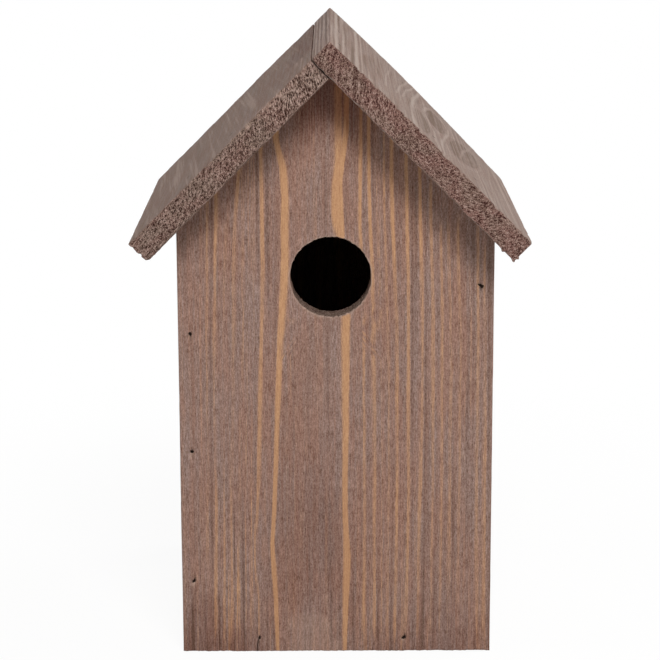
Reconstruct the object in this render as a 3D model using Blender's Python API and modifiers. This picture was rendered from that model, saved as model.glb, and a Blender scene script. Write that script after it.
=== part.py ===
"""A hanging bird nest box of stained softwood boards, in metres with +Z up.

The entrance faces -Y. The origin is on the ground under the ridge, halfway between
the roof's front edge and the rear face of the hanging plate. The right-hand side is
a door: it swings on two nails near its top and is held shut by a bent hook.
"""

import math
from dataclasses import dataclass

import bmesh
import bpy
from mathutils import Vector

# Box
BODY_WIDTH = 0.1265
BODY_SHIFT = 0.002
RIDGE_HEIGHT = 0.253
BOARD_THICKNESS = 0.012
EDGE_SOFTENING = 0.0005

# Roof
ROOF_DEPTH = 0.162
ROOF_SLOPE_LENGTH = 0.1105
ROOF_THICKNESS = 0.0105
ROOF_PITCH = math.radians(45)
ROOF_OVERHANG = 0.020

# Entrance
ENTRANCE_RADIUS = 0.016
ENTRANCE_BELOW_RIDGE = 0.0955

# Floor
FLOOR_THICKNESS = 0.012
DRAIN_CORNER = 0.010

# Door
PIVOT_INSET = 0.0055
PIVOT_BELOW_EAVE = 0.0180
DOOR_SIDE_GAP = 0.0006
DOOR_TOP_GAP = 0.0008
DOOR_BOTTOM_GAP = 0.0010

# Brads
BRAD_LENGTH = 0.030
BRAD_SHANK_RADIUS = 0.00055
BRAD_HEAD_RADIUS = 0.0008
BRAD_HEAD_HEIGHT = 0.0005
BRAD_TIP_LENGTH = 0.0015
BRAD_SINK = 0.0007

# Pivot nails
PIVOT_NAIL_LENGTH = 0.035
PIVOT_NAIL_SHANK_RADIUS = 0.0008
PIVOT_NAIL_HEAD_RADIUS = 0.0012
PIVOT_NAIL_HEAD_HEIGHT = 0.0006
PIVOT_NAIL_TIP_LENGTH = 0.002
PIVOT_NAIL_SINK = 0.0005

# Hanging plate
PLATE_WIDTH = 0.018
PLATE_HEIGHT = 0.056
PLATE_THICKNESS = 0.002
PLATE_CORNER_RADIUS = 0.004
PLATE_BELOW_RIDGE = 0.062
PLATE_SCREW_INSET = 0.007
KEYHOLE_RADIUS = 0.0045
KEYHOLE_SLOT_RADIUS = 0.0022
KEYHOLE_RISE = 0.010
KEYHOLE_DROP = 0.005
POCKET_MARGIN = 0.0028
POCKET_DEPTH = 0.006

# Plate screws
SCREW_LENGTH = 0.011
SCREW_SHANK_RADIUS = 0.0014
SCREW_HEAD_RADIUS = 0.0028
SCREW_HEAD_HEIGHT = 0.0002
SCREW_HEAD_TAPER = 0.0014
SCREW_TIP_LENGTH = 0.002
SCREW_SINK = 0.0001

# Turn hook
HOOK_WIRE_RADIUS = 0.0013
HOOK_HEIGHT = 0.022
HOOK_DEPTH = 0.014
HOOK_ARM_LENGTH = 0.016
HOOK_BEND_RADIUS = 0.0025
HOOK_DOOR_GAP = 0.0005

# Fits
JOINT_GAP = 0.0003
FASTENER_CLEARANCE = 0.0002
CUT_OVERRUN = 0.002
MERGE_DISTANCE = 0.00001

# Where fasteners sit, as shares of the length that they follow
WALL_NAIL_HEIGHT_SHARES = (0.174, 0.485, 0.762)
WALL_NAIL_INSET_SHARE = 0.41
FLOOR_NAIL_REACH_SHARE = 0.235
SILL_NAIL_DEPTH_SHARES = (0.30, 0.70)
RIDGE_NAIL_DEPTH_SHARES = (0.15, 0.50, 0.85)
ROOF_NAIL_SLOPE_SHARES = {
    ("right", "front"): (0.623, 0.878),
    ("right", "back"): (0.160, 0.766),
    ("left", "front"): (0.638, 0.918),
    ("left", "back"): (0.612, 0.944),
}

# Numbers of facets
ENTRANCE_SIDES = 64
NAIL_SIDES = 12
SCREW_SIDES = 20
HOOK_HOLE_SIDES = 16
ARC_STEPS = 6
HOOK_BEVEL_RESOLUTION = 2
FLAT_ANGLE = math.radians(1)
SMOOTH_ANGLE = math.radians(35)

# Collections
PARTS = "nest_box"
CUTTERS = "nest_box_cutters"

# Places that follow from the sizes above
UPRIGHT = (math.pi / 2, 0, 0)
ROOF_FRONT = -(ROOF_DEPTH + JOINT_GAP + PLATE_THICKNESS) / 2
ROOF_BACK = ROOF_FRONT + ROOF_DEPTH
BODY_LEFT = BODY_SHIFT - BODY_WIDTH / 2
BODY_RIGHT = BODY_SHIFT + BODY_WIDTH / 2
FRONT_MIDDLE = ROOF_FRONT + ROOF_OVERHANG + BOARD_THICKNESS / 2
BACK_MIDDLE = ROOF_BACK - BOARD_THICKNESS / 2
INSIDE_FRONT = FRONT_MIDDLE + BOARD_THICKNESS / 2
INSIDE_BACK = BACK_MIDDLE - BOARD_THICKNESS / 2
INSIDE_LEFT = BODY_LEFT + BOARD_THICKNESS
INSIDE_RIGHT = BODY_RIGHT - BOARD_THICKNESS
INSIDE_MIDDLE = (INSIDE_FRONT + INSIDE_BACK) / 2
INSIDE_DEPTH = INSIDE_BACK - INSIDE_FRONT
ENTRANCE_HEIGHT = RIDGE_HEIGHT - ENTRANCE_BELOW_RIDGE
PLATE_CENTRE_HEIGHT = RIDGE_HEIGHT - PLATE_BELOW_RIDGE

RIDGE = Vector((0, RIDGE_HEIGHT))
DOWN_RIGHT = Vector((math.cos(ROOF_PITCH), -math.sin(ROOF_PITCH)))
DOWN_LEFT = Vector((-DOWN_RIGHT.x, DOWN_RIGHT.y))
INTO_RIGHT = Vector((DOWN_RIGHT.y, -DOWN_RIGHT.x))
INTO_LEFT = Vector((-INTO_RIGHT.x, INTO_RIGHT.y))


@dataclass(frozen=True)
class Fastener:
    """Sizes of a nail or a screw, whose head lies below the wood's face by its sink."""

    length: float
    shank_radius: float
    head_radius: float
    head_height: float
    head_taper: float
    tip_length: float
    sink: float
    sides: int


BRAD = Fastener(
    BRAD_LENGTH,
    BRAD_SHANK_RADIUS,
    BRAD_HEAD_RADIUS,
    BRAD_HEAD_HEIGHT,
    0,
    BRAD_TIP_LENGTH,
    BRAD_SINK,
    NAIL_SIDES,
)
PIVOT_NAIL = Fastener(
    PIVOT_NAIL_LENGTH,
    PIVOT_NAIL_SHANK_RADIUS,
    PIVOT_NAIL_HEAD_RADIUS,
    PIVOT_NAIL_HEAD_HEIGHT,
    0,
    PIVOT_NAIL_TIP_LENGTH,
    PIVOT_NAIL_SINK,
    NAIL_SIDES,
)
PLATE_SCREW = Fastener(
    SCREW_LENGTH,
    SCREW_SHANK_RADIUS,
    SCREW_HEAD_RADIUS,
    SCREW_HEAD_HEIGHT,
    SCREW_HEAD_TAPER,
    SCREW_TIP_LENGTH,
    SCREW_SINK,
    SCREW_SIDES,
)


@dataclass(frozen=True)
class Finish:
    """Colour, roughness and metallic value of a sub-part's surface."""

    colour: tuple
    roughness: float
    metallic: float = 0.0


FRONT_STAIN = Finish((0.262, 0.171, 0.141), 0.80)
WALL_STAIN = Finish((0.245, 0.165, 0.135), 0.82)
ROOF_STAIN = Finish((0.330, 0.262, 0.225), 0.85)
FLOOR_STAIN = Finish((0.230, 0.155, 0.125), 0.85)
ZINC = Finish((0.62, 0.63, 0.64), 0.38, 1.0)
DARK_STEEL = Finish((0.10, 0.09, 0.085), 0.55, 0.9)


def clear_scene():
    """Removes every object of the open scene."""
    for obj in list(bpy.data.objects):
        bpy.data.objects.remove(obj, do_unlink=True)


def add_collection(name):
    """Adds an empty collection to the scene."""
    bpy.context.scene.collection.children.link(bpy.data.collections.new(name))


def paint(obj, finish):
    """Gives the object a Principled material of its own."""
    material = bpy.data.materials.new(obj.name)
    material.use_nodes = True
    shader = material.node_tree.nodes["Principled BSDF"]
    shader.inputs["Base Color"].default_value = (*finish.colour, 1)
    shader.inputs["Roughness"].default_value = finish.roughness
    shader.inputs["Metallic"].default_value = finish.metallic
    obj.data.materials.append(material)


def add_object(name, data, collection, location=(0, 0, 0), rotation=(0, 0, 0)):
    """An object in the named collection, placed and turned."""
    obj = bpy.data.objects.new(name, data)
    obj.location = location
    obj.rotation_euler = rotation
    bpy.data.collections[collection].objects.link(obj)
    return obj


def settled_mesh(obj):
    """The mesh that a curve or a modifier makes, with its seams welded; the object goes."""
    bpy.context.view_layer.update()
    graph = bpy.context.evaluated_depsgraph_get()
    mesh = bpy.data.meshes.new_from_object(obj.evaluated_get(graph))
    bpy.data.objects.remove(obj, do_unlink=True)
    shape = bmesh.new()
    shape.from_mesh(mesh)
    bmesh.ops.remove_doubles(shape, verts=shape.verts, dist=MERGE_DISTANCE)
    bmesh.ops.dissolve_limit(
        shape, angle_limit=FLAT_ANGLE, verts=shape.verts, edges=shape.edges
    )
    bmesh.ops.recalc_face_normals(shape, faces=shape.faces)
    shape.to_mesh(mesh)
    shape.free()
    return mesh


def slab_mesh(name, outline, thickness):
    """A flat outline in local XY, extruded by half its thickness each way along Z."""
    curve = bpy.data.curves.new(name, "CURVE")
    curve.dimensions = "2D"
    curve.fill_mode = "BOTH"
    curve.extrude = thickness / 2
    spline = curve.splines.new("POLY")
    spline.points.add(len(outline) - 1)
    for point, place in zip(spline.points, outline):
        point.co = (place[0], place[1], 0, 1)
    spline.use_cyclic_u = True
    return settled_mesh(add_object(name, curve, PARTS))


def turned_mesh(name, profile, sides):
    """A turned shape from a profile of radius and height that runs down its outer side."""
    line = bpy.data.meshes.new(name)
    links = [(index, index + 1) for index in range(len(profile) - 1)]
    line.from_pydata([(radius, 0, height) for radius, height in profile], links, [])
    obj = add_object(name, line, PARTS)
    screw = obj.modifiers.new("turning", "SCREW")
    screw.steps = sides
    screw.render_steps = sides
    screw.use_merge_vertices = True
    screw.merge_threshold = MERGE_DISTANCE
    mesh = settled_mesh(obj)
    mesh.shade_smooth()
    mesh.set_sharp_from_angle(angle=SMOOTH_ANGLE)
    return mesh


def board(name, outline, thickness, location, finish, rotation=(0, 0, 0)):
    """A sawn board of the given outline, with its edges a little softened."""
    obj = add_object(name, slab_mesh(name, outline, thickness), PARTS, location, rotation)
    softening = obj.modifiers.new("softened edges", "BEVEL")
    softening.width = EDGE_SOFTENING
    softening.segments = 1
    softening.limit_method = "ANGLE"
    paint(obj, finish)
    return obj


def add_cutter(name, mesh, location, rotation=(0, 0, 0)):
    """A hidden shape that is cut out of the boards it passes through."""
    cutter = add_object(name, mesh, CUTTERS, location, rotation)
    cutter.display_type = "WIRE"
    cutter.hide_render = True
    return cutter


def cut(obj, cutter):
    """Takes the cutter's shape out of the object."""
    boolean = obj.modifiers.new(cutter.name, "BOOLEAN")
    boolean.operation = "DIFFERENCE"
    boolean.solver = "EXACT"
    boolean.object = cutter


def arc(centre, radius, start, end, steps=ARC_STEPS):
    """Points along an arc in a plane, from one angle to another."""
    angles = [start + (end - start) * step / steps for step in range(steps + 1)]
    return [
        (centre[0] + radius * math.cos(angle), centre[1] + radius * math.sin(angle))
        for angle in angles
    ]


def meet(point, direction, other, other_direction):
    """The crossing of two lines in a plane."""
    along = (other - point).cross(other_direction) / direction.cross(other_direction)
    return point + direction * along


def under_roof(x, gap):
    """Height of the roof's underside at x, less a gap measured square to the slope."""
    peak = RIDGE_HEIGHT - (ROOF_THICKNESS + gap) / math.cos(ROOF_PITCH)
    return peak - abs(x) * math.tan(ROOF_PITCH)


def in_space(place, depth):
    """A point or direction of the XZ plane at a depth along Y."""
    return Vector((place.x, depth, place.y))


def door_pivot():
    """Where the axis of the door's two pivot nails crosses the XZ plane."""
    top = under_roof(BODY_RIGHT, DOOR_TOP_GAP)
    return Vector((BODY_RIGHT - PIVOT_INSET, top - PIVOT_BELOW_EAVE))


def make_gable_board(name, middle, finish):
    """A five-sided end board that fills the gable up to the roof."""
    outline = [
        (BODY_LEFT, 0),
        (BODY_RIGHT, 0),
        (BODY_RIGHT, under_roof(BODY_RIGHT, JOINT_GAP)),
        (0, under_roof(0, JOINT_GAP)),
        (BODY_LEFT, under_roof(BODY_LEFT, JOINT_GAP)),
    ]
    return board(name, outline, BOARD_THICKNESS, (0, middle, 0), finish, UPRIGHT)


def make_left_side():
    """The fixed side wall, bevelled at the top to follow the roof."""
    outline = [
        (BODY_LEFT, 0),
        (INSIDE_LEFT, 0),
        (INSIDE_LEFT, under_roof(INSIDE_LEFT, JOINT_GAP)),
        (BODY_LEFT, under_roof(BODY_LEFT, JOINT_GAP)),
    ]
    depth = INSIDE_DEPTH - 2 * JOINT_GAP
    return board("left_side", outline, depth, (0, INSIDE_MIDDLE, 0), WALL_STAIN, UPRIGHT)


def make_side_door():
    """The right side wall, which swings on its pivot nails, with its origin on their axis."""
    pivot = door_pivot()
    corners = [
        Vector((INSIDE_RIGHT, DOOR_BOTTOM_GAP)),
        Vector((BODY_RIGHT, DOOR_BOTTOM_GAP)),
        Vector((BODY_RIGHT, under_roof(BODY_RIGHT, DOOR_TOP_GAP))),
        Vector((INSIDE_RIGHT, under_roof(INSIDE_RIGHT, DOOR_TOP_GAP))),
    ]
    outline = [corner - pivot for corner in corners]
    depth = INSIDE_DEPTH - 2 * DOOR_SIDE_GAP
    door = board("side_door", outline, depth, (0, 0, 0), WALL_STAIN, UPRIGHT)
    door.parent = add_pivot("door_pivot", in_space(pivot, INSIDE_MIDDLE))
    return door


def make_floor():
    """The floor between the walls, its four corners cut off so that water drains."""
    left = INSIDE_LEFT + JOINT_GAP
    right = INSIDE_RIGHT - DOOR_SIDE_GAP
    half = INSIDE_DEPTH / 2 - JOINT_GAP
    outline = [
        (left + DRAIN_CORNER, -half),
        (right - DRAIN_CORNER, -half),
        (right, DRAIN_CORNER - half),
        (right, half - DRAIN_CORNER),
        (right - DRAIN_CORNER, half),
        (left + DRAIN_CORNER, half),
        (left, half - DRAIN_CORNER),
        (left, DRAIN_CORNER - half),
    ]
    place = (0, INSIDE_MIDDLE, FLOOR_THICKNESS / 2)
    return board("floor_board", outline, FLOOR_THICKNESS, place, FLOOR_STAIN)


def make_roof_right():
    """The longer roof board, which covers the other one's end at the ridge."""
    eave = RIDGE + DOWN_RIGHT * ROOF_SLOPE_LENGTH
    under_eave = eave + INTO_RIGHT * ROOF_THICKNESS
    outline = [RIDGE, meet(under_eave, DOWN_RIGHT, RIDGE, DOWN_LEFT), under_eave, eave]
    place = (0, ROOF_FRONT + ROOF_DEPTH / 2, 0)
    return board("roof_board_right", outline, ROOF_DEPTH, place, ROOF_STAIN, UPRIGHT)


def make_roof_left():
    """The shorter roof board, which butts against the underside of the other one."""
    seam = RIDGE + INTO_RIGHT * (ROOF_THICKNESS + JOINT_GAP)
    eave = RIDGE + DOWN_LEFT * ROOF_SLOPE_LENGTH
    under_eave = eave + INTO_LEFT * ROOF_THICKNESS
    outline = [
        meet(seam, DOWN_RIGHT, RIDGE, DOWN_LEFT),
        eave,
        under_eave,
        meet(seam, DOWN_RIGHT, under_eave, DOWN_LEFT),
    ]
    place = (0, ROOF_FRONT + ROOF_DEPTH / 2, 0)
    return board("roof_board_left", outline, ROOF_DEPTH, place, ROOF_STAIN, UPRIGHT)


def cut_entrance(front):
    """The round hole that the birds use."""
    bpy.ops.mesh.primitive_cylinder_add(
        vertices=ENTRANCE_SIDES,
        radius=ENTRANCE_RADIUS,
        depth=BOARD_THICKNESS + 2 * CUT_OVERRUN,
    )
    made = bpy.context.object
    place = (0, FRONT_MIDDLE, ENTRANCE_HEIGHT)
    cut(front, add_cutter("entrance_cutter", settled_mesh(made), place, UPRIGHT))


def fastener_profile(sizes, clearance, rise):
    """A nail's or screw's profile from the top of its head, at height zero, to its tip."""
    neck = -(sizes.head_height + clearance)
    return [
        (0, rise),
        (sizes.head_radius + clearance, rise),
        (sizes.head_radius + clearance, neck),
        (sizes.shank_radius + clearance, neck - sizes.head_taper),
        (sizes.shank_radius + clearance, sizes.tip_length - sizes.length - clearance),
        (0, -(sizes.length + 2 * clearance)),
    ]


def drive(name, sizes, face, direction, pieces, finish):
    """Drives a fastener in at a point of a face and clears its hole in each piece."""
    place = face + direction * sizes.sink
    turn = (-direction).to_track_quat("Z", "Y").to_euler()
    mesh = turned_mesh(name, fastener_profile(sizes, 0, 0), sizes.sides)
    paint(add_object(name, mesh, PARTS, place, turn), finish)
    rise = sizes.sink + CUT_OVERRUN
    hole = fastener_profile(sizes, FASTENER_CLEARANCE, rise)
    cutter_mesh = turned_mesh(name + "_hole", hole, sizes.sides)
    cutter = add_cutter(name + "_hole", cutter_mesh, place, turn)
    for piece in pieces:
        cut(piece, cutter)


def nail_gables_to_walls(front, back, left):
    """Three brads through each gable board into the left wall's edges."""
    height = under_roof(BODY_LEFT, JOINT_GAP)
    x = BODY_LEFT + BOARD_THICKNESS * WALL_NAIL_INSET_SHARE
    for end, gable, face, inward in gable_faces(front, back):
        for number, share in enumerate(WALL_NAIL_HEIGHT_SHARES, 1):
            name = f"brad_{end}_wall_{number}"
            point = Vector((x, face, height * share))
            drive(name, BRAD, point, inward, (gable, left), DARK_STEEL)


def nail_gables_to_floor(front, back, floor):
    """Two brads through each gable board into the floor's edges."""
    for end, gable, face, inward in gable_faces(front, back):
        for number, side in enumerate((-1, 1), 1):
            name = f"brad_{end}_floor_{number}"
            x = side * BODY_WIDTH * FLOOR_NAIL_REACH_SHARE
            point = Vector((x, face, FLOOR_THICKNESS / 2))
            drive(name, BRAD, point, inward, (gable, floor), DARK_STEEL)


def nail_wall_to_floor(left, floor):
    """Two brads through the left wall into the floor's edge."""
    for number, share in enumerate(SILL_NAIL_DEPTH_SHARES, 1):
        y = INSIDE_FRONT + INSIDE_DEPTH * share
        point = Vector((BODY_LEFT, y, FLOOR_THICKNESS / 2))
        name = f"brad_left_floor_{number}"
        drive(name, BRAD, point, Vector((1, 0, 0)), (left, floor), DARK_STEEL)


def nail_roof_to_gables(front, back, roof_left, roof_right):
    """Brads through the roof boards, square to them, into the gable boards' sloping edges."""
    slopes = {
        "left": (roof_left, DOWN_LEFT, INTO_LEFT, -BODY_LEFT),
        "right": (roof_right, DOWN_RIGHT, INTO_RIGHT, BODY_RIGHT),
    }
    ends = {"front": (front, FRONT_MIDDLE), "back": (back, BACK_MIDDLE)}
    for (side, end), shares in ROOF_NAIL_SLOPE_SHARES.items():
        roof, down, into, reach = slopes[side]
        gable, y = ends[end]
        over_gable = reach / math.cos(ROOF_PITCH)
        for number, share in enumerate(shares, 1):
            point = in_space(RIDGE + down * over_gable * share, y)
            name = f"brad_roof_{side}_{end}_{number}"
            drive(name, BRAD, point, in_space(into, 0), (roof, gable), DARK_STEEL)


def nail_ridge(roof_left, roof_right):
    """Brads through the right roof board into the middle of the left one's end."""
    middle = RIDGE + INTO_LEFT * ROOF_THICKNESS / 2
    start = meet(middle, DOWN_LEFT, RIDGE, DOWN_RIGHT)
    for number, share in enumerate(RIDGE_NAIL_DEPTH_SHARES, 1):
        point = in_space(start, ROOF_FRONT + ROOF_DEPTH * share)
        name = f"brad_ridge_{number}"
        drive(
            name, BRAD, point, in_space(DOWN_LEFT, 0), (roof_left, roof_right), DARK_STEEL
        )


def gable_faces(front, back):
    """Name, board, outer face and inward direction of the two gable boards."""
    half = BOARD_THICKNESS / 2
    return (
        ("front", front, FRONT_MIDDLE - half, Vector((0, 1, 0))),
        ("back", back, BACK_MIDDLE + half, Vector((0, -1, 0))),
    )


def add_pivot(name, place):
    """An empty on a joint's axis, which carries the piece that turns about it."""
    return add_object(name, None, PARTS, place)


def hang_door(front, back, door):
    """The two nails that the door swings on, one through each gable board."""
    for end, gable, face, inward in gable_faces(front, back):
        name = f"pivot_nail_{end}"
        point = in_space(door_pivot(), face)
        drive(name, PIVOT_NAIL, point, inward, (gable, door), DARK_STEEL)


def rounded_rectangle(width, height, radius):
    """The outline of a rectangle with round corners, centred on zero."""
    quarter = math.pi / 2
    across = width / 2 - radius
    up = height / 2 - radius
    corners = ((across, up), (-across, up), (-across, -up), (across, -up))
    outline = []
    for number, corner in enumerate(corners):
        outline += arc(corner, radius, number * quarter, (number + 1) * quarter)
    return outline


def keyhole(margin):
    """The outline of a round hole with a narrower slot above it, grown by a margin."""
    radius = KEYHOLE_RADIUS + margin
    slot = KEYHOLE_SLOT_RADIUS + margin
    half_mouth = math.asin(slot / radius)
    top = math.pi / 2
    round_part = arc(
        (0, -KEYHOLE_DROP),
        radius,
        top + half_mouth,
        top - half_mouth + 2 * math.pi,
        4 * ARC_STEPS,
    )
    slot_end = arc((0, KEYHOLE_RISE - KEYHOLE_DROP), slot, 0, math.pi)
    return round_part + slot_end


def make_hanging_plate(back):
    """The zinc-plated plate on the back, with a keyhole and a pocket in the wood behind it."""
    behind = ROOF_BACK + JOINT_GAP
    place = (0, behind + PLATE_THICKNESS / 2, PLATE_CENTRE_HEIGHT)
    outline = rounded_rectangle(PLATE_WIDTH, PLATE_HEIGHT, PLATE_CORNER_RADIUS)
    mesh = slab_mesh("hanging_plate", outline, PLATE_THICKNESS)
    plate = add_object("hanging_plate", mesh, PARTS, place, UPRIGHT)
    paint(plate, ZINC)
    hole = slab_mesh("keyhole_cutter", keyhole(0), PLATE_THICKNESS + 2 * CUT_OVERRUN)
    cut(plate, add_cutter("keyhole_cutter", hole, place, UPRIGHT))
    pocket = slab_mesh("pocket_cutter", keyhole(POCKET_MARGIN), POCKET_DEPTH + CUT_OVERRUN)
    middle = ROOF_BACK + (CUT_OVERRUN - POCKET_DEPTH) / 2
    pocket_place = (0, middle, PLATE_CENTRE_HEIGHT)
    cut(back, add_cutter("pocket_cutter", pocket, pocket_place, UPRIGHT))
    reach = PLATE_HEIGHT / 2 - PLATE_SCREW_INSET
    for name, side in (("plate_screw_top", 1), ("plate_screw_bottom", -1)):
        point = Vector((0, behind + PLATE_THICKNESS, PLATE_CENTRE_HEIGHT + side * reach))
        drive(name, PLATE_SCREW, point, Vector((0, -1, 0)), (plate, back), ZINC)


def make_turn_hook(back):
    """A bent wire hook in the back board's edge; its arm hangs and turns over the door."""
    edge = Vector((BODY_RIGHT, BACK_MIDDLE, HOOK_HEIGHT))
    reach = HOOK_DOOR_GAP + HOOK_WIRE_RADIUS
    bend = arc(
        (reach - HOOK_BEND_RADIUS, -HOOK_BEND_RADIUS),
        HOOK_BEND_RADIUS,
        math.pi / 2,
        0,
    )
    route = [(-HOOK_DEPTH, 0), *bend, (reach, -HOOK_ARM_LENGTH)]
    curve = bpy.data.curves.new("turn_hook", "CURVE")
    curve.dimensions = "3D"
    curve.bevel_depth = HOOK_WIRE_RADIUS
    curve.bevel_resolution = HOOK_BEVEL_RESOLUTION
    curve.use_fill_caps = True
    spline = curve.splines.new("POLY")
    spline.points.add(len(route) - 1)
    for point, (x, z) in zip(spline.points, route):
        point.co = (x, 0, z, 1)
    hook = add_object("turn_hook", curve, PARTS)
    paint(hook, ZINC)
    hook.parent = add_pivot("hook_pivot", edge)
    bpy.ops.mesh.primitive_cylinder_add(
        vertices=HOOK_HOLE_SIDES,
        radius=HOOK_WIRE_RADIUS + JOINT_GAP,
        depth=HOOK_DEPTH + JOINT_GAP + CUT_OVERRUN,
    )
    hole = settled_mesh(bpy.context.object)
    middle = edge + Vector(((CUT_OVERRUN - HOOK_DEPTH - JOINT_GAP) / 2, 0, 0))
    cut(back, add_cutter("hook_cutter", hole, middle, (0, math.pi / 2, 0)))


def main():
    """Builds the boards, then the fasteners that go through them, then the metalwork."""
    clear_scene()
    add_collection(PARTS)
    add_collection(CUTTERS)
    front = make_gable_board("front_board", FRONT_MIDDLE, FRONT_STAIN)
    cut_entrance(front)
    back = make_gable_board("back_board", BACK_MIDDLE, WALL_STAIN)
    left = make_left_side()
    door = make_side_door()
    floor = make_floor()
    roof_right = make_roof_right()
    roof_left = make_roof_left()
    nail_gables_to_walls(front, back, left)
    nail_gables_to_floor(front, back, floor)
    nail_wall_to_floor(left, floor)
    nail_roof_to_gables(front, back, roof_left, roof_right)
    nail_ridge(roof_left, roof_right)
    hang_door(front, back, door)
    make_hanging_plate(back)
    make_turn_hook(back)


main()
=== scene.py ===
"""Looks of a hanging bird nest box of stained softwood boards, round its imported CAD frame.

Lengths are in metres, +Z is up and the entrance faces -Y. Each board has directions of
its own: u across the grain, v from its weather face inward, and w along the grain.
"""

import itertools
import logging
import math
from abc import ABC, abstractmethod
from dataclasses import dataclass, replace
from enum import Enum
from typing import Callable, Optional, Sequence, Union

import bpy
import numpy as np
from mathutils import Matrix, Vector


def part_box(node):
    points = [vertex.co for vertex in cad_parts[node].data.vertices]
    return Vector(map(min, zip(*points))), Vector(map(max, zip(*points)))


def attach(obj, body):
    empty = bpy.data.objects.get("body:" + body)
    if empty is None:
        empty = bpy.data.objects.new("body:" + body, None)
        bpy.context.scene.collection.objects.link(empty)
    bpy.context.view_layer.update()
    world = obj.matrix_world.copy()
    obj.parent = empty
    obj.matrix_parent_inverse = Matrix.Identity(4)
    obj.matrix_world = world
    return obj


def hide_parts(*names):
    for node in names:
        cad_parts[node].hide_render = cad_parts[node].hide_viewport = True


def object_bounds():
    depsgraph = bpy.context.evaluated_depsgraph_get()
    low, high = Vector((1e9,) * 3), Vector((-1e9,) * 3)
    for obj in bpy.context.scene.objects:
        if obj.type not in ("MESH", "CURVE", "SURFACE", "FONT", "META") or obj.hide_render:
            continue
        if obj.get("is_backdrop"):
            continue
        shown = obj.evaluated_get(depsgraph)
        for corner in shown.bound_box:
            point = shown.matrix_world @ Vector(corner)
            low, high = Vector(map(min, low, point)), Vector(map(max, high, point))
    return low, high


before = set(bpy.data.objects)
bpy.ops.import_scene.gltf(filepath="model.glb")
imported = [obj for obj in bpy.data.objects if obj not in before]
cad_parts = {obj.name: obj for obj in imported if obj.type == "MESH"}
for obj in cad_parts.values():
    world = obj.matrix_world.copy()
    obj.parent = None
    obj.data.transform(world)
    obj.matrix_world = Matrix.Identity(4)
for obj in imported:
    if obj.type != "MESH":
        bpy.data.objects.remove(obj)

LOG = logging.getLogger("nest_box")
MM = 0.001

Pair = tuple[float, float]
Triple = tuple[float, float, float]
Colour = Triple
Masks = dict[str, np.ndarray]
Socket = bpy.types.NodeSocket
Value = Union[float, int, tuple, Socket]
Edge = Callable[[np.ndarray, np.ndarray], np.ndarray]
Outline = Callable[[np.ndarray], np.ndarray]


def smooth(low: float, high: float, value: np.ndarray) -> np.ndarray:
    """0 below low, 1 above high, and an even rise between them."""
    part = np.clip((value - low) / (high - low), 0.0, 1.0)
    return part * part * (3 - 2 * part)


def fade(low: float, high: float, value: np.ndarray) -> np.ndarray:
    """1 below low, 0 above high, and an even fall between them."""
    return 1 - smooth(low, high, value)


def hump(value: np.ndarray, width: float) -> np.ndarray:
    """1 where a value is zero, and about a third where it is a width above or below."""
    return np.exp(-((value / width) ** 2))


class Noise:
    """Smooth random values on a lattice, the same on every run."""

    def __init__(self, seed: int) -> None:
        """Fills the table of random values from a seed."""
        self.table = np.random.default_rng(seed).random(4096)

    def __call__(self, places: np.ndarray, size: Sequence[float]) -> np.ndarray:
        """Random values that change over a given size.

        Args:
            places: Points, one row of u, v and w each.
            size: Length of one change along u, v and w.

        Returns:
            One value from -1 to 1 for each point.
        """
        scaled = places / np.asarray(size)
        cell = np.floor(scaled).astype(np.int64)
        part = scaled - cell
        part = part * part * (3 - 2 * part)
        total = np.zeros(len(places))
        for corner in itertools.product((0, 1), repeat=3):
            weight = np.prod(np.where(corner, part, 1 - part), axis=1)
            key = (cell + corner) * (73856093, 19349663, 83492791)
            total += weight * self.table[np.bitwise_xor.reduce(key, axis=1) & 4095]
        return 2 * total - 1


# Shader building


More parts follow.
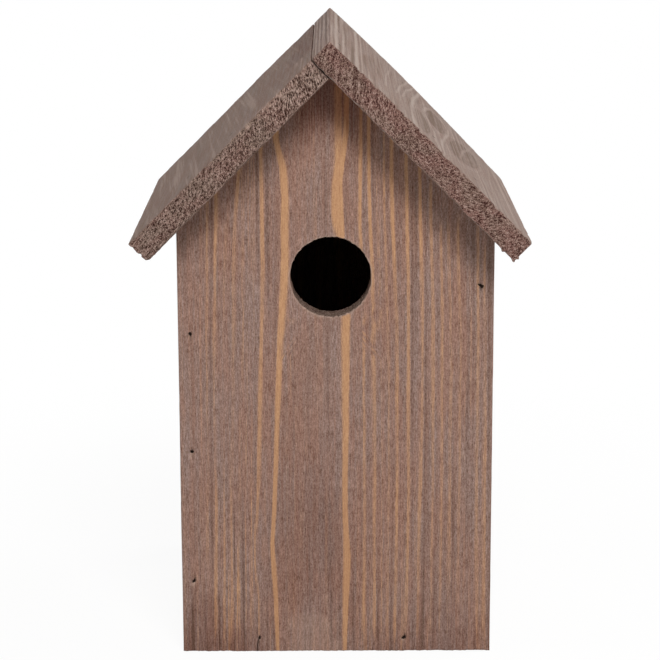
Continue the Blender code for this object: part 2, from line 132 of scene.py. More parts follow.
class Tree:
    """A shader node tree that is filled in node by node."""

    def __init__(self, tree: bpy.types.NodeTree) -> None:
        """Takes the tree to fill."""
        self.tree = tree

    def add(self, kind: str, inputs: Optional[dict] = None, **settings) -> bpy.types.Node:
        """Adds a node.

        Args:
            kind: The node's type in Blender.
            inputs: A value or a socket to link for each input, by name or number.
            settings: The node's own settings.

        Returns:
            The node.
        """
        node = self.tree.nodes.new(kind)
        for name, setting in settings.items():
            setattr(node, name, setting)
        for key, value in (inputs or {}).items():
            self.put(node.inputs[key], value)
        return node

    def put(self, socket: Socket, value: Value) -> None:
        """Links a socket to an input, or sets the input to a value."""
        if isinstance(value, Socket):
            self.tree.links.new(value, socket)
        elif isinstance(value, tuple) and socket.type == "RGBA":
            socket.default_value = (*value[:3], 1.0)
        else:
            socket.default_value = value

    def read(self, attribute: str, output: str = "Fac") -> Socket:
        """An output of a mesh attribute."""
        return self.add("ShaderNodeAttribute", attribute_name=attribute).outputs[output]

    def math(self, operation: str, *values: Value) -> Socket:
        """The result of a sum on numbers."""
        inputs = dict(enumerate(values))
        return self.add("ShaderNodeMath", inputs, operation=operation).outputs[0]

    def vector(self, operation: str, *values: Value) -> Socket:
        """The result of a sum on vectors."""
        inputs = dict(enumerate(values))
        outputs = self.add("ShaderNodeVectorMath", inputs, operation=operation).outputs
        return outputs["Value" if operation == "LENGTH" else "Vector"]

    def join(self, *parts: Value) -> Socket:
        """A vector from its three parts."""
        return self.add("ShaderNodeCombineXYZ", dict(enumerate(parts))).outputs[0]

    def mix(self, share: Value, first: Value, second: Value, blend: str = "MIX") -> Socket:
        """Mixes two colours.

        Args:
            share: How much of the second colour shows.
            first: One colour.
            second: The other colour.
            blend: Blender's name for the way of mixing.

        Returns:
            The mixed colour.
        """
        inputs = {0: share, 6: first, 7: second}
        return self.add("ShaderNodeMix", inputs, data_type="RGBA", blend_type=blend).outputs[2]

    def span(
        self, value: Value, low: float, high: float, start: float = 0.0, end: float = 1.0
    ) -> Socket:
        """Moves a value from one range to another, with soft ends.

        Args:
            value: The value.
            low: Where the first range starts.
            high: Where it ends.
            start: What low becomes.
            end: What high becomes.

        Returns:
            The moved value.
        """
        inputs = {0: value, 1: low, 2: high, 3: start, 4: end}
        node = self.add("ShaderNodeMapRange", inputs, interpolation_type="SMOOTHSTEP")
        return node.outputs[0]

    def noise(
        self, places: Value, size: Value, detail: float = 2.0, rough: float = 0.5
    ) -> Socket:
        """Noise that changes over a given size along each direction.

        Args:
            places: Where it is read.
            size: The length of one change along each direction.
            detail: How many finer layers it has.
            rough: How strong the finer layers are.

        Returns:
            The noise, from 0 to 1.
        """
        scaled = self.vector("DIVIDE", places, size)
        inputs = {"Vector": scaled, "Scale": 1.0, "Detail": detail, "Roughness": rough}
        return self.add("ShaderNodeTexNoise", inputs).outputs[0]

    def surface(self, looks: dict[str, Value], bump: dict[str, Value]) -> None:
        """Ends a material in one shader.

        Args:
            looks: The shader's inputs.
            bump: The inputs of its bump.
        """
        normal = self.add("ShaderNodeBump", bump).outputs[0]
        shader = self.add("ShaderNodeBsdfPrincipled", looks | {"Normal": normal})
        self.add("ShaderNodeOutputMaterial", {0: shader.outputs[0]})

    def seen(self) -> Socket:
        """1 where a surface is seen, mirrored or seen through, and 0 where it only lights."""
        path = self.add("ShaderNodeLightPath").outputs
        seen = self.math("MAXIMUM", path["Is Camera Ray"], path["Is Glossy Ray"])
        return self.math("MAXIMUM", seen, path["Is Transmission Ray"])


def bare_tree(owner: Union[bpy.types.Material, bpy.types.World]) -> Tree:
    """The emptied node tree of a material or a world."""
    owner.use_nodes = True
    owner.node_tree.nodes.clear()
    return Tree(owner.node_tree)


def sockets(kind: str, *names: str) -> tuple[tuple[str, str], ...]:
    """Sockets of one kind, as pairs of a name and the kind."""
    return tuple((name, kind) for name in names)


class Effect(ABC):
    """A shader node group that is built once and placed in each material that needs it."""

    title: str
    takes: tuple[tuple[str, str], ...]
    gives: tuple[tuple[str, str], ...]

    @abstractmethod
    def fill(self, tree: Tree, taken: dict[str, Socket]) -> dict[str, Value]:
        """Fills the group.

        Args:
            tree: The group's tree.
            taken: The group's inputs by name.

        Returns:
            What feeds each of the group's outputs, by name.
        """

    def group(self) -> bpy.types.NodeTree:
        """The node group, built at its first use."""
        if self.title in bpy.data.node_groups:
            return bpy.data.node_groups[self.title]
        group = bpy.data.node_groups.new(self.title, "ShaderNodeTree")
        for way, ends in (("INPUT", self.takes), ("OUTPUT", self.gives)):
            for name, kind in ends:
                group.interface.new_socket(name, in_out=way, socket_type="NodeSocket" + kind)
        tree = Tree(group)
        source = tree.add("NodeGroupInput")
        made = self.fill(tree, {name: source.outputs[name] for name, _ in self.takes})
        tree.add("NodeGroupOutput", made)
        return group

    def place(self, tree: Tree, inputs: dict[str, Value]) -> bpy.types.Node:
        """Places the group in a material, with its inputs."""
        return tree.add("ShaderNodeGroup", inputs, node_tree=self.group())


class Fibre(Effect):
    """Streaks, hairs and long lines along the grain, and short flecks."""

    title = "fibre"
    takes = sockets("Vector", "Grain") + sockets("Float", "Streak Width", "Hair Width")
    gives = sockets("Float", "Streaks", "Hairs", "Flecks", "Lines")
    streak_length: float = 0.045
    hair_length: float = 0.0050
    fleck_scale: Triple = (1.1, 1.1, 0.16)
    line_scale: Triple = (1.5, 1.5, 9.0)

    def fill(self, tree: Tree, taken: dict) -> dict:
        """See Effect."""
        grain, width, hair = taken["Grain"], taken["Streak Width"], taken["Hair Width"]
        streak = tree.join(width, width, self.streak_length)
        hairs = tree.join(hair, hair, self.hair_length)
        flecks = tree.vector("MULTIPLY", hairs, self.fleck_scale)
        lines = tree.vector("MULTIPLY", hairs, self.line_scale)
        return {
            "Streaks": tree.span(tree.noise(grain, streak, 3.0, 0.65), 0.32, 0.68),
            "Hairs": tree.span(tree.noise(grain, hairs, 2.0, 0.55), 0.28, 0.72),
            "Flecks": tree.span(tree.noise(grain, flecks, 2.0, 0.7), 0.30, 0.70),
            "Lines": tree.span(tree.noise(grain, lines, 2.0, 0.6), 0.36, 0.64),
        }


class Stain(Effect):
    """Colour of a stained long-grain face: blotches, growth lines and fibres."""

    title = "stain"
    takes = (
        sockets("Vector", "Grain")
        + sockets("Float", "Figure", "Streaks", "Hairs", "Flecks", "Contrast")
        + sockets("Color", "Grey", "Warm", "Late Wood", "Dark Line")
    )
    gives = sockets("Color", "Color")
    blotch_size: Triple = (0.014, 0.014, 0.045)
    fibre_tint: Triple = (0.84, 1.04, 1.17)

    def fill(self, tree: Tree, taken: dict) -> dict:
        """See Effect."""
        figure, hairs, streaks = taken["Figure"], taken["Hairs"], taken["Streaks"]
        blotch = tree.noise(taken["Grain"], self.blotch_size, 3.0, 0.6)
        hue = tree.math("MULTIPLY_ADD", streaks, 0.26, tree.math("MULTIPLY", blotch, 0.68))
        hue = tree.math("MULTIPLY_ADD", hairs, 0.06, hue)
        base = tree.mix(tree.span(hue, 0.31, 0.69), taken["Grey"], taken["Warm"])
        rough = tree.math("MULTIPLY", hairs, 0.14)
        light = tree.math("ADD", figure, tree.math("SUBTRACT", rough, 0.07))
        late = tree.math("MULTIPLY", tree.span(light, 0.0, 0.85), tree.span(figure, 0.0, 0.10))
        base = tree.mix(late, base, taken["Late Wood"])
        dark = tree.span(tree.math("SUBTRACT", rough, figure), 0.08, 0.95)
        base = tree.mix(dark, base, taken["Dark Line"])
        fibres = tree.math("MULTIPLY", taken["Flecks"], 0.44)
        fibres = tree.math("MULTIPLY_ADD", hairs, 0.44, fibres)
        fibres = tree.math("MULTIPLY_ADD", streaks, 0.12, fibres)
        plain = tree.math("MULTIPLY_ADD", late, -0.65, 1.0)
        contrast = tree.math("MULTIPLY", taken["Contrast"], plain)
        shade = tree.math("MULTIPLY", tree.math("SUBTRACT", fibres, 0.5), contrast)
        shade = tree.join(shade, shade, shade)
        shade = tree.vector("MULTIPLY_ADD", shade, self.fibre_tint, (1.0, 1.0, 1.0))
        return {"Color": tree.mix(1.0, base, shade, "MULTIPLY")}


class EndGrain(Effect):
    """Colour and height of a sawn end: dark pores, torn pale fibres and strokes along the rings."""

    title = "end grain"
    takes = (
        sockets("Vector", "Grain")
        + sockets("Float", "Figure", "Torn", "Ring", "Strokes", "Stroked", "Pore Size")
        + sockets("Color", "Pore", "Wood", "Grey", "Torn Fibre")
    )
    gives = sockets("Color", "Color") + sockets("Float", "Height")
    pore_length: float = 0.004
    pore_bend: Triple = (0.0003, 0.0003, 0.0)
    tuft_scale: Triple = (1.3, 1.8, 1.0)
    stroke_size: Triple = (0.00038, 0.0016, 0.0016)
    blotch_size: Triple = (0.011, 0.007, 0.02)

    def fill(self, tree: Tree, taken: dict) -> dict:
        """See Effect."""
        grain, figure, stroked = taken["Grain"], taken["Figure"], taken["Stroked"]
        size = tree.join(taken["Pore Size"], taken["Pore Size"], self.pore_length)
        fine = tree.span(tree.noise(grain, size, 2.0, 0.6), 0.30, 0.70)
        bent = tree.vector("MULTIPLY_ADD", fine, self.pore_bend, grain)
        bent = tree.vector("DIVIDE", bent, tree.vector("MULTIPLY", size, self.tuft_scale))
        tufts = tree.add("ShaderNodeTexVoronoi", {"Vector": bent, "Scale": 1.0}).outputs["Distance"]
        dense = tree.math("MULTIPLY_ADD", stroked, -0.50, 1.0)
        grains = tree.math("MULTIPLY_ADD", tufts, -0.82, tree.math("MULTIPLY", fine, 0.42))
        grains = tree.math("MULTIPLY", tree.math("ADD", grains, 0.17), dense)
        level = tree.math("MULTIPLY_ADD", taken["Torn"], 0.08, tree.math("ADD", grains, 0.23))
        level = tree.math("MULTIPLY_ADD", figure, -0.14, level)
        across = tree.add("ShaderNodeSeparateXYZ", {0: grain}).outputs
        along = tree.join(taken["Ring"], across[0], across[1])
        strokes = tree.span(tree.noise(along, self.stroke_size, 2.0, 0.6), 0.30, 0.70)
        power = tree.math("MULTIPLY_ADD", stroked, 0.50, taken["Strokes"])
        level = tree.math("MULTIPLY_ADD", tree.math("SUBTRACT", strokes, 0.5), power, level)
        blotch = tree.noise(grain, self.blotch_size, 2.0, 0.5)
        wood = tree.mix(tree.span(blotch, 0.36, 0.62), taken["Wood"], taken["Grey"])
        wood = tree.mix(tree.span(level, -0.03, 0.15), taken["Pore"], wood)
        colour = tree.mix(tree.span(level, 0.26, 0.54), wood, taken["Torn Fibre"])
        late = tree.span(figure, 0.1, 1.0, 0.0, 0.3)
        return {"Color": tree.mix(late, colour, taken["Pore"]), "Height": level}


class Wear(Effect):
    """Rubbed arrises, broken up by noise."""

    title = "wear"
    takes = sockets("Vector", "Grain") + sockets("Float", "Edge", "Amount")
    gives = sockets("Float", "Mask")
    patch_size: Triple = (0.002, 0.002, 0.005)

    def fill(self, tree: Tree, taken: dict) -> dict:
        """See Effect."""
        patches = tree.noise(taken["Grain"], self.patch_size, 3.0, 0.6)
        lifted = tree.math("MULTIPLY_ADD", patches, 0.9, tree.math("MULTIPLY", taken["Edge"], 0.6))
        return {"Mask": tree.math("MULTIPLY", tree.span(lifted, 0.72, 1.05), taken["Amount"])}


class Patina(Effect):
    """Cloudy crystals, dull spots and a little relief on plated or bare metal."""

    title = "patina"
    takes = sockets("Vector", "Place") + sockets("Float", "Grain Size")
    gives = sockets("Float", "Cloud", "Spots", "Height")
    wide: Triple = (3.0, 3.0, 3.0)
    narrow: Triple = (0.3, 0.3, 0.3)

    def fill(self, tree: Tree, taken: dict) -> dict:
        """See Effect."""
        place, length = taken["Place"], taken["Grain Size"]
        size = tree.join(length, length, length)
        scaled = tree.vector("DIVIDE", place, size)
        cells = tree.add("ShaderNodeTexVoronoi", {"Vector": scaled, "Scale": 1.0})
        shade = tree.add("ShaderNodeSeparateColor", {0: cells.outputs["Color"]}).outputs[0]
        cloud = tree.noise(place, tree.vector("MULTIPLY", size, self.wide), 4.0, 0.6)
        fine = tree.noise(place, tree.vector("MULTIPLY", size, self.narrow), 3.0, 0.7)
        mixed = tree.math("MULTIPLY_ADD", fine, 0.5, tree.math("MULTIPLY", cloud, 0.5))
        return {
            "Cloud": tree.math("MULTIPLY_ADD", shade, 0.35, tree.math("MULTIPLY", cloud, 0.65)),
            "Spots": tree.span(mixed, 0.50, 0.66),
            "Height": fine,
        }


FIBRE, STAIN, END_GRAIN = Fibre(), Stain(), EndGrain()
WEAR, PATINA = Wear(), Patina()


# Finishes


class Finish(ABC):
    """What a piece is made of and how it looks."""

    name: str

    @abstractmethod
    def shade(self, tree: Tree) -> None:
        """Fills the material's tree."""

    def material(self) -> bpy.types.Material:
        """The finish's material, built at its first use."""
        own = self.name + "_finish"
        if own in bpy.data.materials:
            return bpy.data.materials[own]
        material = bpy.data.materials.new(own)
        self.shade(bare_tree(material))
        return material


@dataclass(frozen=True)
class WoodFinish(Finish):
    """Stained softwood, with long-grain faces, sawn ends and nail holes."""

    name: str
    grey: Colour
    warm: Colour
    late_wood: Colour
    dark_line: Colour
    pore: Colour
    end_wood: Colour
    end_grey: Colour
    torn_fibre: Colour
    # Near black: dark stain, and painted shade in the nail holes and the split.
    stain_and_shade: Colour = (0.011, 0.006, 0.004)
    fresh: Colour = (0.42, 0.30, 0.24)
    # Darkens damp wood, and paints shade where the mask holds painted shade.
    damp_and_shade: Colour = (0.62, 0.50, 0.47)
    contrast: float = 1.42
    streak_width: float = 0.0011
    hair_width: float = 0.00034
    pore_size: float = 0.00032
    strokes: float = 0.24
    roughness: float = 0.72
    worn: float = 0.5
    relief: float = 0.00016

    def shade(self, tree: Tree) -> None:
        """See Finish. The attributes are those that Board writes."""
        grain = tree.read("grain", "Vector")
        figure, end, edge, torn = (tree.read(name) for name in ("figure", "end", "edge", "torn"))
        widths = {"Streak Width": self.streak_width, "Hair Width": self.hair_width}
        fibre = FIBRE.place(tree, {"Grain": grain, **widths}).outputs
        both = {"Grain": grain, "Figure": figure}
        fibres = {name: fibre[name] for name in ("Streaks", "Hairs", "Flecks")}
        tones = {"Grey": self.grey, "Warm": self.warm}
        lines = {"Late Wood": self.late_wood, "Dark Line": self.dark_line}
        stain = STAIN.place(tree, both | fibres | tones | lines | {"Contrast": self.contrast})
        tones = {"Wood": self.end_wood, "Grey": self.end_grey, "Torn Fibre": self.torn_fibre}
        pores = {"Pore": self.pore, "Pore Size": self.pore_size, "Torn": torn}
        rings = {"Ring": tree.read("ring"), "Stroked": tree.read("stroked")}
        rings["Strokes"] = self.strokes
        sawn = END_GRAIN.place(tree, both | tones | pores | rings)
        # Real damp, and painted shade below the front's ridge and on the right roof board's ridge
        # strip.
        damp_and_shade_share = tree.math("MULTIPLY_ADD", fibre["Lines"], 1.1, 0.45)
        damp_and_shade_share = tree.math("MULTIPLY", damp_and_shade_share, tree.read("damp_and_shade"))
        colour = tree.mix(damp_and_shade_share, stain.outputs["Color"], self.damp_and_shade, "MULTIPLY")
        colour = tree.mix(end, colour, sawn.outputs["Color"])
        rubbed = WEAR.place(tree, {"Grain": grain, "Edge": edge, "Amount": self.worn})
        colour = tree.mix(rubbed.outputs["Mask"], colour, self.torn_fibre)
        colour = tree.mix(tree.read("fresh"), colour, self.fresh)
        # Dark stain, and painted shade in the nail holes and the split.
        colour = tree.mix(tree.read("stain_and_shade"), colour, self.stain_and_shade)
        hairs = tree.math("MULTIPLY", fibre["Hairs"], 0.5)
        height = tree.math("MULTIPLY_ADD", fibre["Flecks"], 0.5, hairs)
        height = tree.add("ShaderNodeMix", {0: end, 2: height, 3: sawn.outputs["Height"]})
        bump = {"Strength": 0.6, "Distance": self.relief, "Height": height.outputs[0]}
        dull = tree.math("MULTIPLY_ADD", fibre["Streaks"], 0.14, self.roughness - 0.07)
        rough = tree.math("MULTIPLY_ADD", end, 0.12, dull)
        tree.surface({"Base Color": colour, "Roughness": rough, "Specular IOR Level": 0.06}, bump)


@dataclass(frozen=True)
class MetalFinish(Finish):
    """Plated metal, or steel black with rust, with clouds, spots and a little relief."""

    name: str
    bright: Colour
    dull: Colour
    spot: Colour
    roughness: float
    spotted: float
    crystal: float
    metallic: float = 1.0
    specular: float = 0.5
    relief: float = 0.00006

    def shade(self, tree: Tree) -> None:
        """See Finish. It is placed by the piece's own coordinates."""
        place = tree.add("ShaderNodeTexCoord").outputs["Object"]
        patina = PATINA.place(tree, {"Place": place, "Grain Size": self.crystal}).outputs
        colour = tree.mix(tree.span(patina["Cloud"], 0.25, 0.75), self.dull, self.bright)
        spots = tree.math("MULTIPLY", patina["Spots"], self.spotted)
        bump = {"Strength": 0.25, "Distance": self.relief, "Height": patina["Height"]}
        rough = tree.math("MULTIPLY_ADD", patina["Cloud"], 0.22, self.roughness - 0.08)
        own = {"Metallic": self.metallic, "Specular IOR Level": self.specular, "Roughness": rough}
        tree.surface({"Base Color": tree.mix(spots, colour, self.spot)} | own, bump)


FRONT_STAIN = WoodFinish(
    "front_stain",
    grey=(0.246, 0.168, 0.143),
    warm=(0.240, 0.136, 0.102),
    late_wood=(0.428, 0.236, 0.126),
    dark_line=(0.130, 0.074, 0.054),
    pore=(0.050, 0.030, 0.024),
    end_wood=(0.150, 0.088, 0.068),
    end_grey=(0.165, 0.112, 0.085),
    torn_fibre=(0.330, 0.240, 0.195),
    worn=0.25,
)
WALL_STAIN = replace(
    FRONT_STAIN,
    name="wall_stain",
    grey=(0.245, 0.166, 0.130),
    warm=(0.242, 0.138, 0.102),
    late_wood=(0.370, 0.210, 0.115),
    dark_line=(0.125, 0.074, 0.054),
    worn=0.4,
)
ROOF_RIGHT_STAIN = replace(
    FRONT_STAIN,
    name="roof_right_stain",
    grey=(0.258, 0.190, 0.160),
    warm=(0.225, 0.150, 0.120),
    late_wood=(0.350, 0.275, 0.235),
    dark_line=(0.138, 0.088, 0.063),
    pore=(0.034, 0.011, 0.009),
    end_wood=(0.180, 0.096, 0.078),
    end_grey=(0.160, 0.100, 0.078),
    torn_fibre=(0.345, 0.245, 0.208),
    contrast=0.7,
    roughness=0.62,
    worn=0.35,
)
# Painted shade: the left slope's long-grain colours are darker than the right board's, as it faces
# away from the key lamp. Its end grain keeps about the right board's colours.
ROOF_LEFT_SHADED_STAIN = replace(
    ROOF_RIGHT_STAIN,
    name="roof_left_shaded_stain",
    grey=(0.160, 0.104, 0.080),
    warm=(0.156, 0.092, 0.068),
    late_wood=(0.228, 0.160, 0.126),
    pore=(0.024, 0.010, 0.007),
    end_wood=(0.176, 0.100, 0.080),
    end_grey=(0.166, 0.110, 0.086),
    torn_fibre=(0.360, 0.262, 0.222),
    pore_size=0.00028,
    contrast=0.85,
    strokes=0.40,
)
FLOOR_STAIN = replace(
    WALL_STAIN,
    name="floor_stain",
    grey=(0.220, 0.150, 0.118),
    warm=(0.218, 0.127, 0.096),
    late_wood=(0.330, 0.195, 0.112),
)
NAIL_STEEL = MetalFinish(
    "nail_steel",
    bright=(0.020, 0.012, 0.008),
    dull=(0.008, 0.005, 0.004),
    spot=(0.030, 0.013, 0.007),
    roughness=0.80,
    spotted=0.6,
    crystal=0.0006,
    metallic=0.0,
    specular=0.06,
)
ZINC = MetalFinish(
    "zinc",
    bright=(0.66, 0.67, 0.68),
    dull=(0.46, 0.47, 0.49),
    spot=(0.70, 0.70, 0.69),
    roughness=0.36,
    spotted=0.35,
    crystal=0.0014,
)


# Growth figures


class Figure(ABC):
    """Where late wood and dark lines show in a board."""

    @abstractmethod
    def strength(self, at: np.ndarray, noise: Noise) -> np.ndarray:
        """How strongly late wood shows.

        Args:
            at: Points of the board, one row of u, v and w each.
            noise: The board's noise.

        Returns:
            1 for late wood, 0 for plain wood and -1 for a dark line.
        """

    @abstractmethod
    def ring(self, at: np.ndarray) -> np.ndarray:
        """How far each point is from the pith."""


def thin_lines(at: np.ndarray, noise: Noise) -> np.ndarray:
    """Fine pale and dark lines along the grain, about zero."""
    thin = noise(at, (0.0006, 0.0006, 0.060)) + 0.6 * noise(at, (0.0013, 0.0013, 0.090))
    return np.sign(thin) * np.maximum(np.abs(thin) - 0.12, 0)


@dataclass(frozen=True)
class GrowthRings(Figure):
    """Rings round a pith, cut by the board's faces."""

    pith: Pair
    spacing: float
    lean: Pair = (0.0, 0.0)
    wander: float = 0.0012
    wander_size: Triple = (0.030, 0.030, 0.080)
    late: float = 0.6
    dark: float = 0.5
    thin: float = 0.35

    def ring(self, at: np.ndarray) -> np.ndarray:
        """See Figure."""
        u, v, w = at.T
        return np.hypot(u - self.pith[0] - self.lean[0] * w, v - self.pith[1] - self.lean[1] * w)

    def strength(self, at: np.ndarray, noise: Noise) -> np.ndarray:
        """See Figure."""
        w = at[:, 2]
        reach = self.ring(at) + self.wander * noise(at, self.wander_size)
        reach += 0.10 * self.wander * noise(at, (0.004, 0.004, 0.030))
        ring = reach / self.spacing
        part = ring - np.floor(ring)
        number = np.stack([np.floor(ring), 0 * ring, w / 0.05], axis=1)
        vary = 0.75 + 0.45 * noise(number + 0.5, (1, 1, 1))
        late = smooth(0.45, 0.85, part) * fade(0.93, 1.0, part)
        dark = fade(0.0, 0.22, part)
        leaning = np.stack([at[:, 0] - self.lean[0] * w, at[:, 1], w], axis=1)
        lines = self.thin * thin_lines(leaning, noise)
        return np.clip(vary * (self.late * late - self.dark * dark) + lines, -1, 1)


@dataclass(frozen=True)
class GrowthLine:
    """A line on a board's face, in millimetres: heights and places, width and strength.

    It is late wood, or a dark line where its strength is below zero. Its swell gives heights
    and the shares of the width that it has there.
    """

    path: tuple[Pair, ...]
    width: float
    strength: float
    swell: tuple[Pair, ...] = ((0, 1.0),)

    def centre(self, w: np.ndarray) -> np.ndarray:
        """Where its middle lies at some heights."""
        heights, places = np.array(self.path).T * MM
        return np.interp(w, heights, places)

    def wide(self, w: np.ndarray) -> np.ndarray:
        """How wide it is at some heights."""
        levels, shares = np.array(self.swell).T
        return self.width * MM * np.interp(w, levels * MM, shares)

    def there(self, w: np.ndarray, runs_off: Pair, soft: float) -> np.ndarray:
        """Where along the board it shows.

        Args:
            w: Heights on the board.
            runs_off: A line that starts below the first height, or ends above the second,
                runs off the board there.
            soft: How far it takes to fade out past an end.

        Returns:
            1 along the line and 0 beyond its ends.
        """
        foot, head = self.path[0][0] * MM, self.path[-1][0] * MM
        there = smooth(-soft, soft, w - foot) if foot > runs_off[0] else np.ones(len(w))
        return there * smooth(-soft, soft, head - w) if head < runs_off[1] else there


@dataclass(frozen=True)
class DarkOval:
    """A patch of dark wood where the rings only graze the face, in millimetres."""

    centre: Pair
    reach: Pair
    lean: float
    strength: float

    def gap(self, at: np.ndarray, noise: Noise) -> np.ndarray:
        """How far points are from its middle, as a share of its reach."""
        behind = at[:, 2] - self.centre[1] * MM
        beside = at[:, 0] - self.centre[0] * MM - self.lean * behind
        gap = np.hypot(beside / (self.reach[0] * MM), behind / (self.reach[1] * MM))
        gap = gap + 0.12 * noise(at, (0.004, 0.02, 0.018))
        return gap + 0.05 * noise(at, (0.0012, 0.02, 0.006))


@dataclass(frozen=True)
class GrowthLines(Figure):
    """Growth lines at chosen places of the face, carried through the board as rings.

    The lines can be stronger toward the top, and at the foot of the left side. The hairs
    between them can be stronger at the foot.
    """

    lines: tuple[GrowthLine, ...]
    pith: Pair
    ovals: tuple[DarkOval, ...] = ()
    end_fade: float = 0.006
    runs_off: Pair = (0.005, 0.200)
    strong_top: float = 0.0
    top: Pair = (0.125, 0.185)
    strong_foot: float = 0.0
    foot: Pair = (0.050, 0.085)
    foot_left: float = -0.0318
    pale_hairs: float = 0.20
    dark_hairs: float = 0.32
    foot_hairs: float = 0.0
    hairy_foot: Pair = (0.020, 0.075)

    def ring(self, at: np.ndarray) -> np.ndarray:
        """See Figure."""
        return np.hypot(at[:, 0] - self.pith[0], at[:, 1] - self.pith[1])

    def on_face(self, at: np.ndarray, noise: Noise) -> np.ndarray:
        """Where the ring through each point comes out on the face, along u."""
        side = at[:, 0] - self.pith[0]
        round_pith = side**2 + at[:, 1] ** 2 - 2 * at[:, 1] * self.pith[1]
        across = self.pith[0] + np.sign(side) * np.sqrt(np.maximum(round_pith, 0.0))
        return across + 0.00012 * noise(at, (0.010, 0.010, 0.012))

    def power(self, number: int, w: np.ndarray, noise: Noise) -> np.ndarray:
        """How strong one of the lines is along the board, from 0 to 1."""
        line = self.lines[number]
        own = np.stack([np.full_like(w, 9.5 * number), 0 * w, w / 0.022], axis=1)
        vary = 0.9 + 0.25 * noise(own, (1, 1, 1))
        there = line.there(w, self.runs_off, self.end_fade)
        there = there * (1 + self.strong_top * smooth(*self.top, w))
        low_left = fade(*self.foot, w) * (line.centre(w) < self.foot_left)
        there = there * (1 + self.strong_foot * low_left)
        return np.minimum(np.abs(line.strength) * vary * there, 1.0)

    def strength(self, at: np.ndarray, noise: Noise) -> np.ndarray:
        """See Figure."""
        _, v, w = at.T
        across = self.on_face(at, noise)
        late, dark = np.zeros(len(at)), np.zeros(len(at))
        for number, line in enumerate(self.lines):
            centre, power = line.centre(w), self.power(number, w, noise)
            off = np.sign(centre - self.pith[0]) * (across - centre) / (line.wide(w) / 2)
            body = np.exp(-np.abs(off) ** np.where(off > 0, 5.0, 2.6))
            if line.strength < 0:
                dark = np.maximum(dark, power * body)
                continue
            late = np.maximum(late, power * body)
            flanks = hump(off - 1.8, 0.7) + 0.6 * hump(off + 2.3, 0.8)
            dark = np.maximum(dark, 0.50 * min(1.0, 1.5 / line.width) * power * flanks)
        for oval in self.ovals:
            gap = oval.gap(at, noise)
            grazed = fade(0.86, 1.02, gap) * (0.80 + 0.20 * np.cos(22.0 * gap))
            dark = np.maximum(dark, oval.strength * grazed)
            for middle, share in ((1.15, 0.60), (1.42, 0.25)):
                late = np.maximum(late, share * oval.strength * hump(gap - middle, 0.075))
        thin = thin_lines(np.stack([across, v, w], axis=1), noise)
        thin *= 1 + self.foot_hairs * fade(*self.hairy_foot, w)
        thin = np.where(thin > 0, self.pale_hairs, self.dark_hairs) * thin
        return np.clip(late + (1 - late) * (thin - dark), -1.0, 1.0)


# Boards


class Side(Enum):
    """A face of a board, as the direction that it closes and the end of it."""

    WEATHER = (1, 0)
    INNER = (1, -1)
    LOW_EDGE = (0, 0)
    HIGH_EDGE = (0, -1)
    FOOT = (2, 0)
    HEAD = (2, -1)


@dataclass(frozen=True)
class Hole:
    """A hole let into a face, placed along the face's two directions in their order.

    The grid is cleared round it up to its reach along each direction, and below it also
    up to its low reach. Rings of points then close the gap.
    """

    side: Side
    centre: Pair
    radius: Outline
    depth: float
    reach: Pair
    rings: int = 5
    # How dark its wall and rim are painted: painted shade in the hole, and stain at the rim.
    stain_and_shade_share: float = 0.0
    through: bool = False
    low_reach: float = math.inf

    def polar(self, points: np.ndarray) -> tuple[np.ndarray, ...]:
        """Points seen from the middle of a hole in a weather face.

        Args:
            points: Points, one row of u, v and w each.

        Returns:
            Their offsets along u and w, their distances, their angles, and the rim's
            distances at these angles.
        """
        away = points[:, [0, 2]] - self.centre
        angle = np.arctan2(away[:, 1], away[:, 0])
        return away, np.linalg.norm(away, axis=1), angle, self.radius(angle)


@dataclass(frozen=True)
class RaggedRim:
    """A round rim that wanders in and out."""

    radius: float
    ragged: float = 0.0
    turn: float = 0.0
    fuzz: float = 0.0

    def __call__(self, angle: np.ndarray) -> np.ndarray:
        """The rim's distance from the middle at an angle."""
        waves = np.sin(2 * angle + self.turn) + 0.7 * np.sin(5 * angle + 2.3 * self.turn)
        torn = np.sin(23 * angle) + np.sin(41 * angle + 1.3) + np.sin(67 * angle + 0.4)
        return self.radius * (1 + self.ragged * waves) + self.fuzz * torn / 2


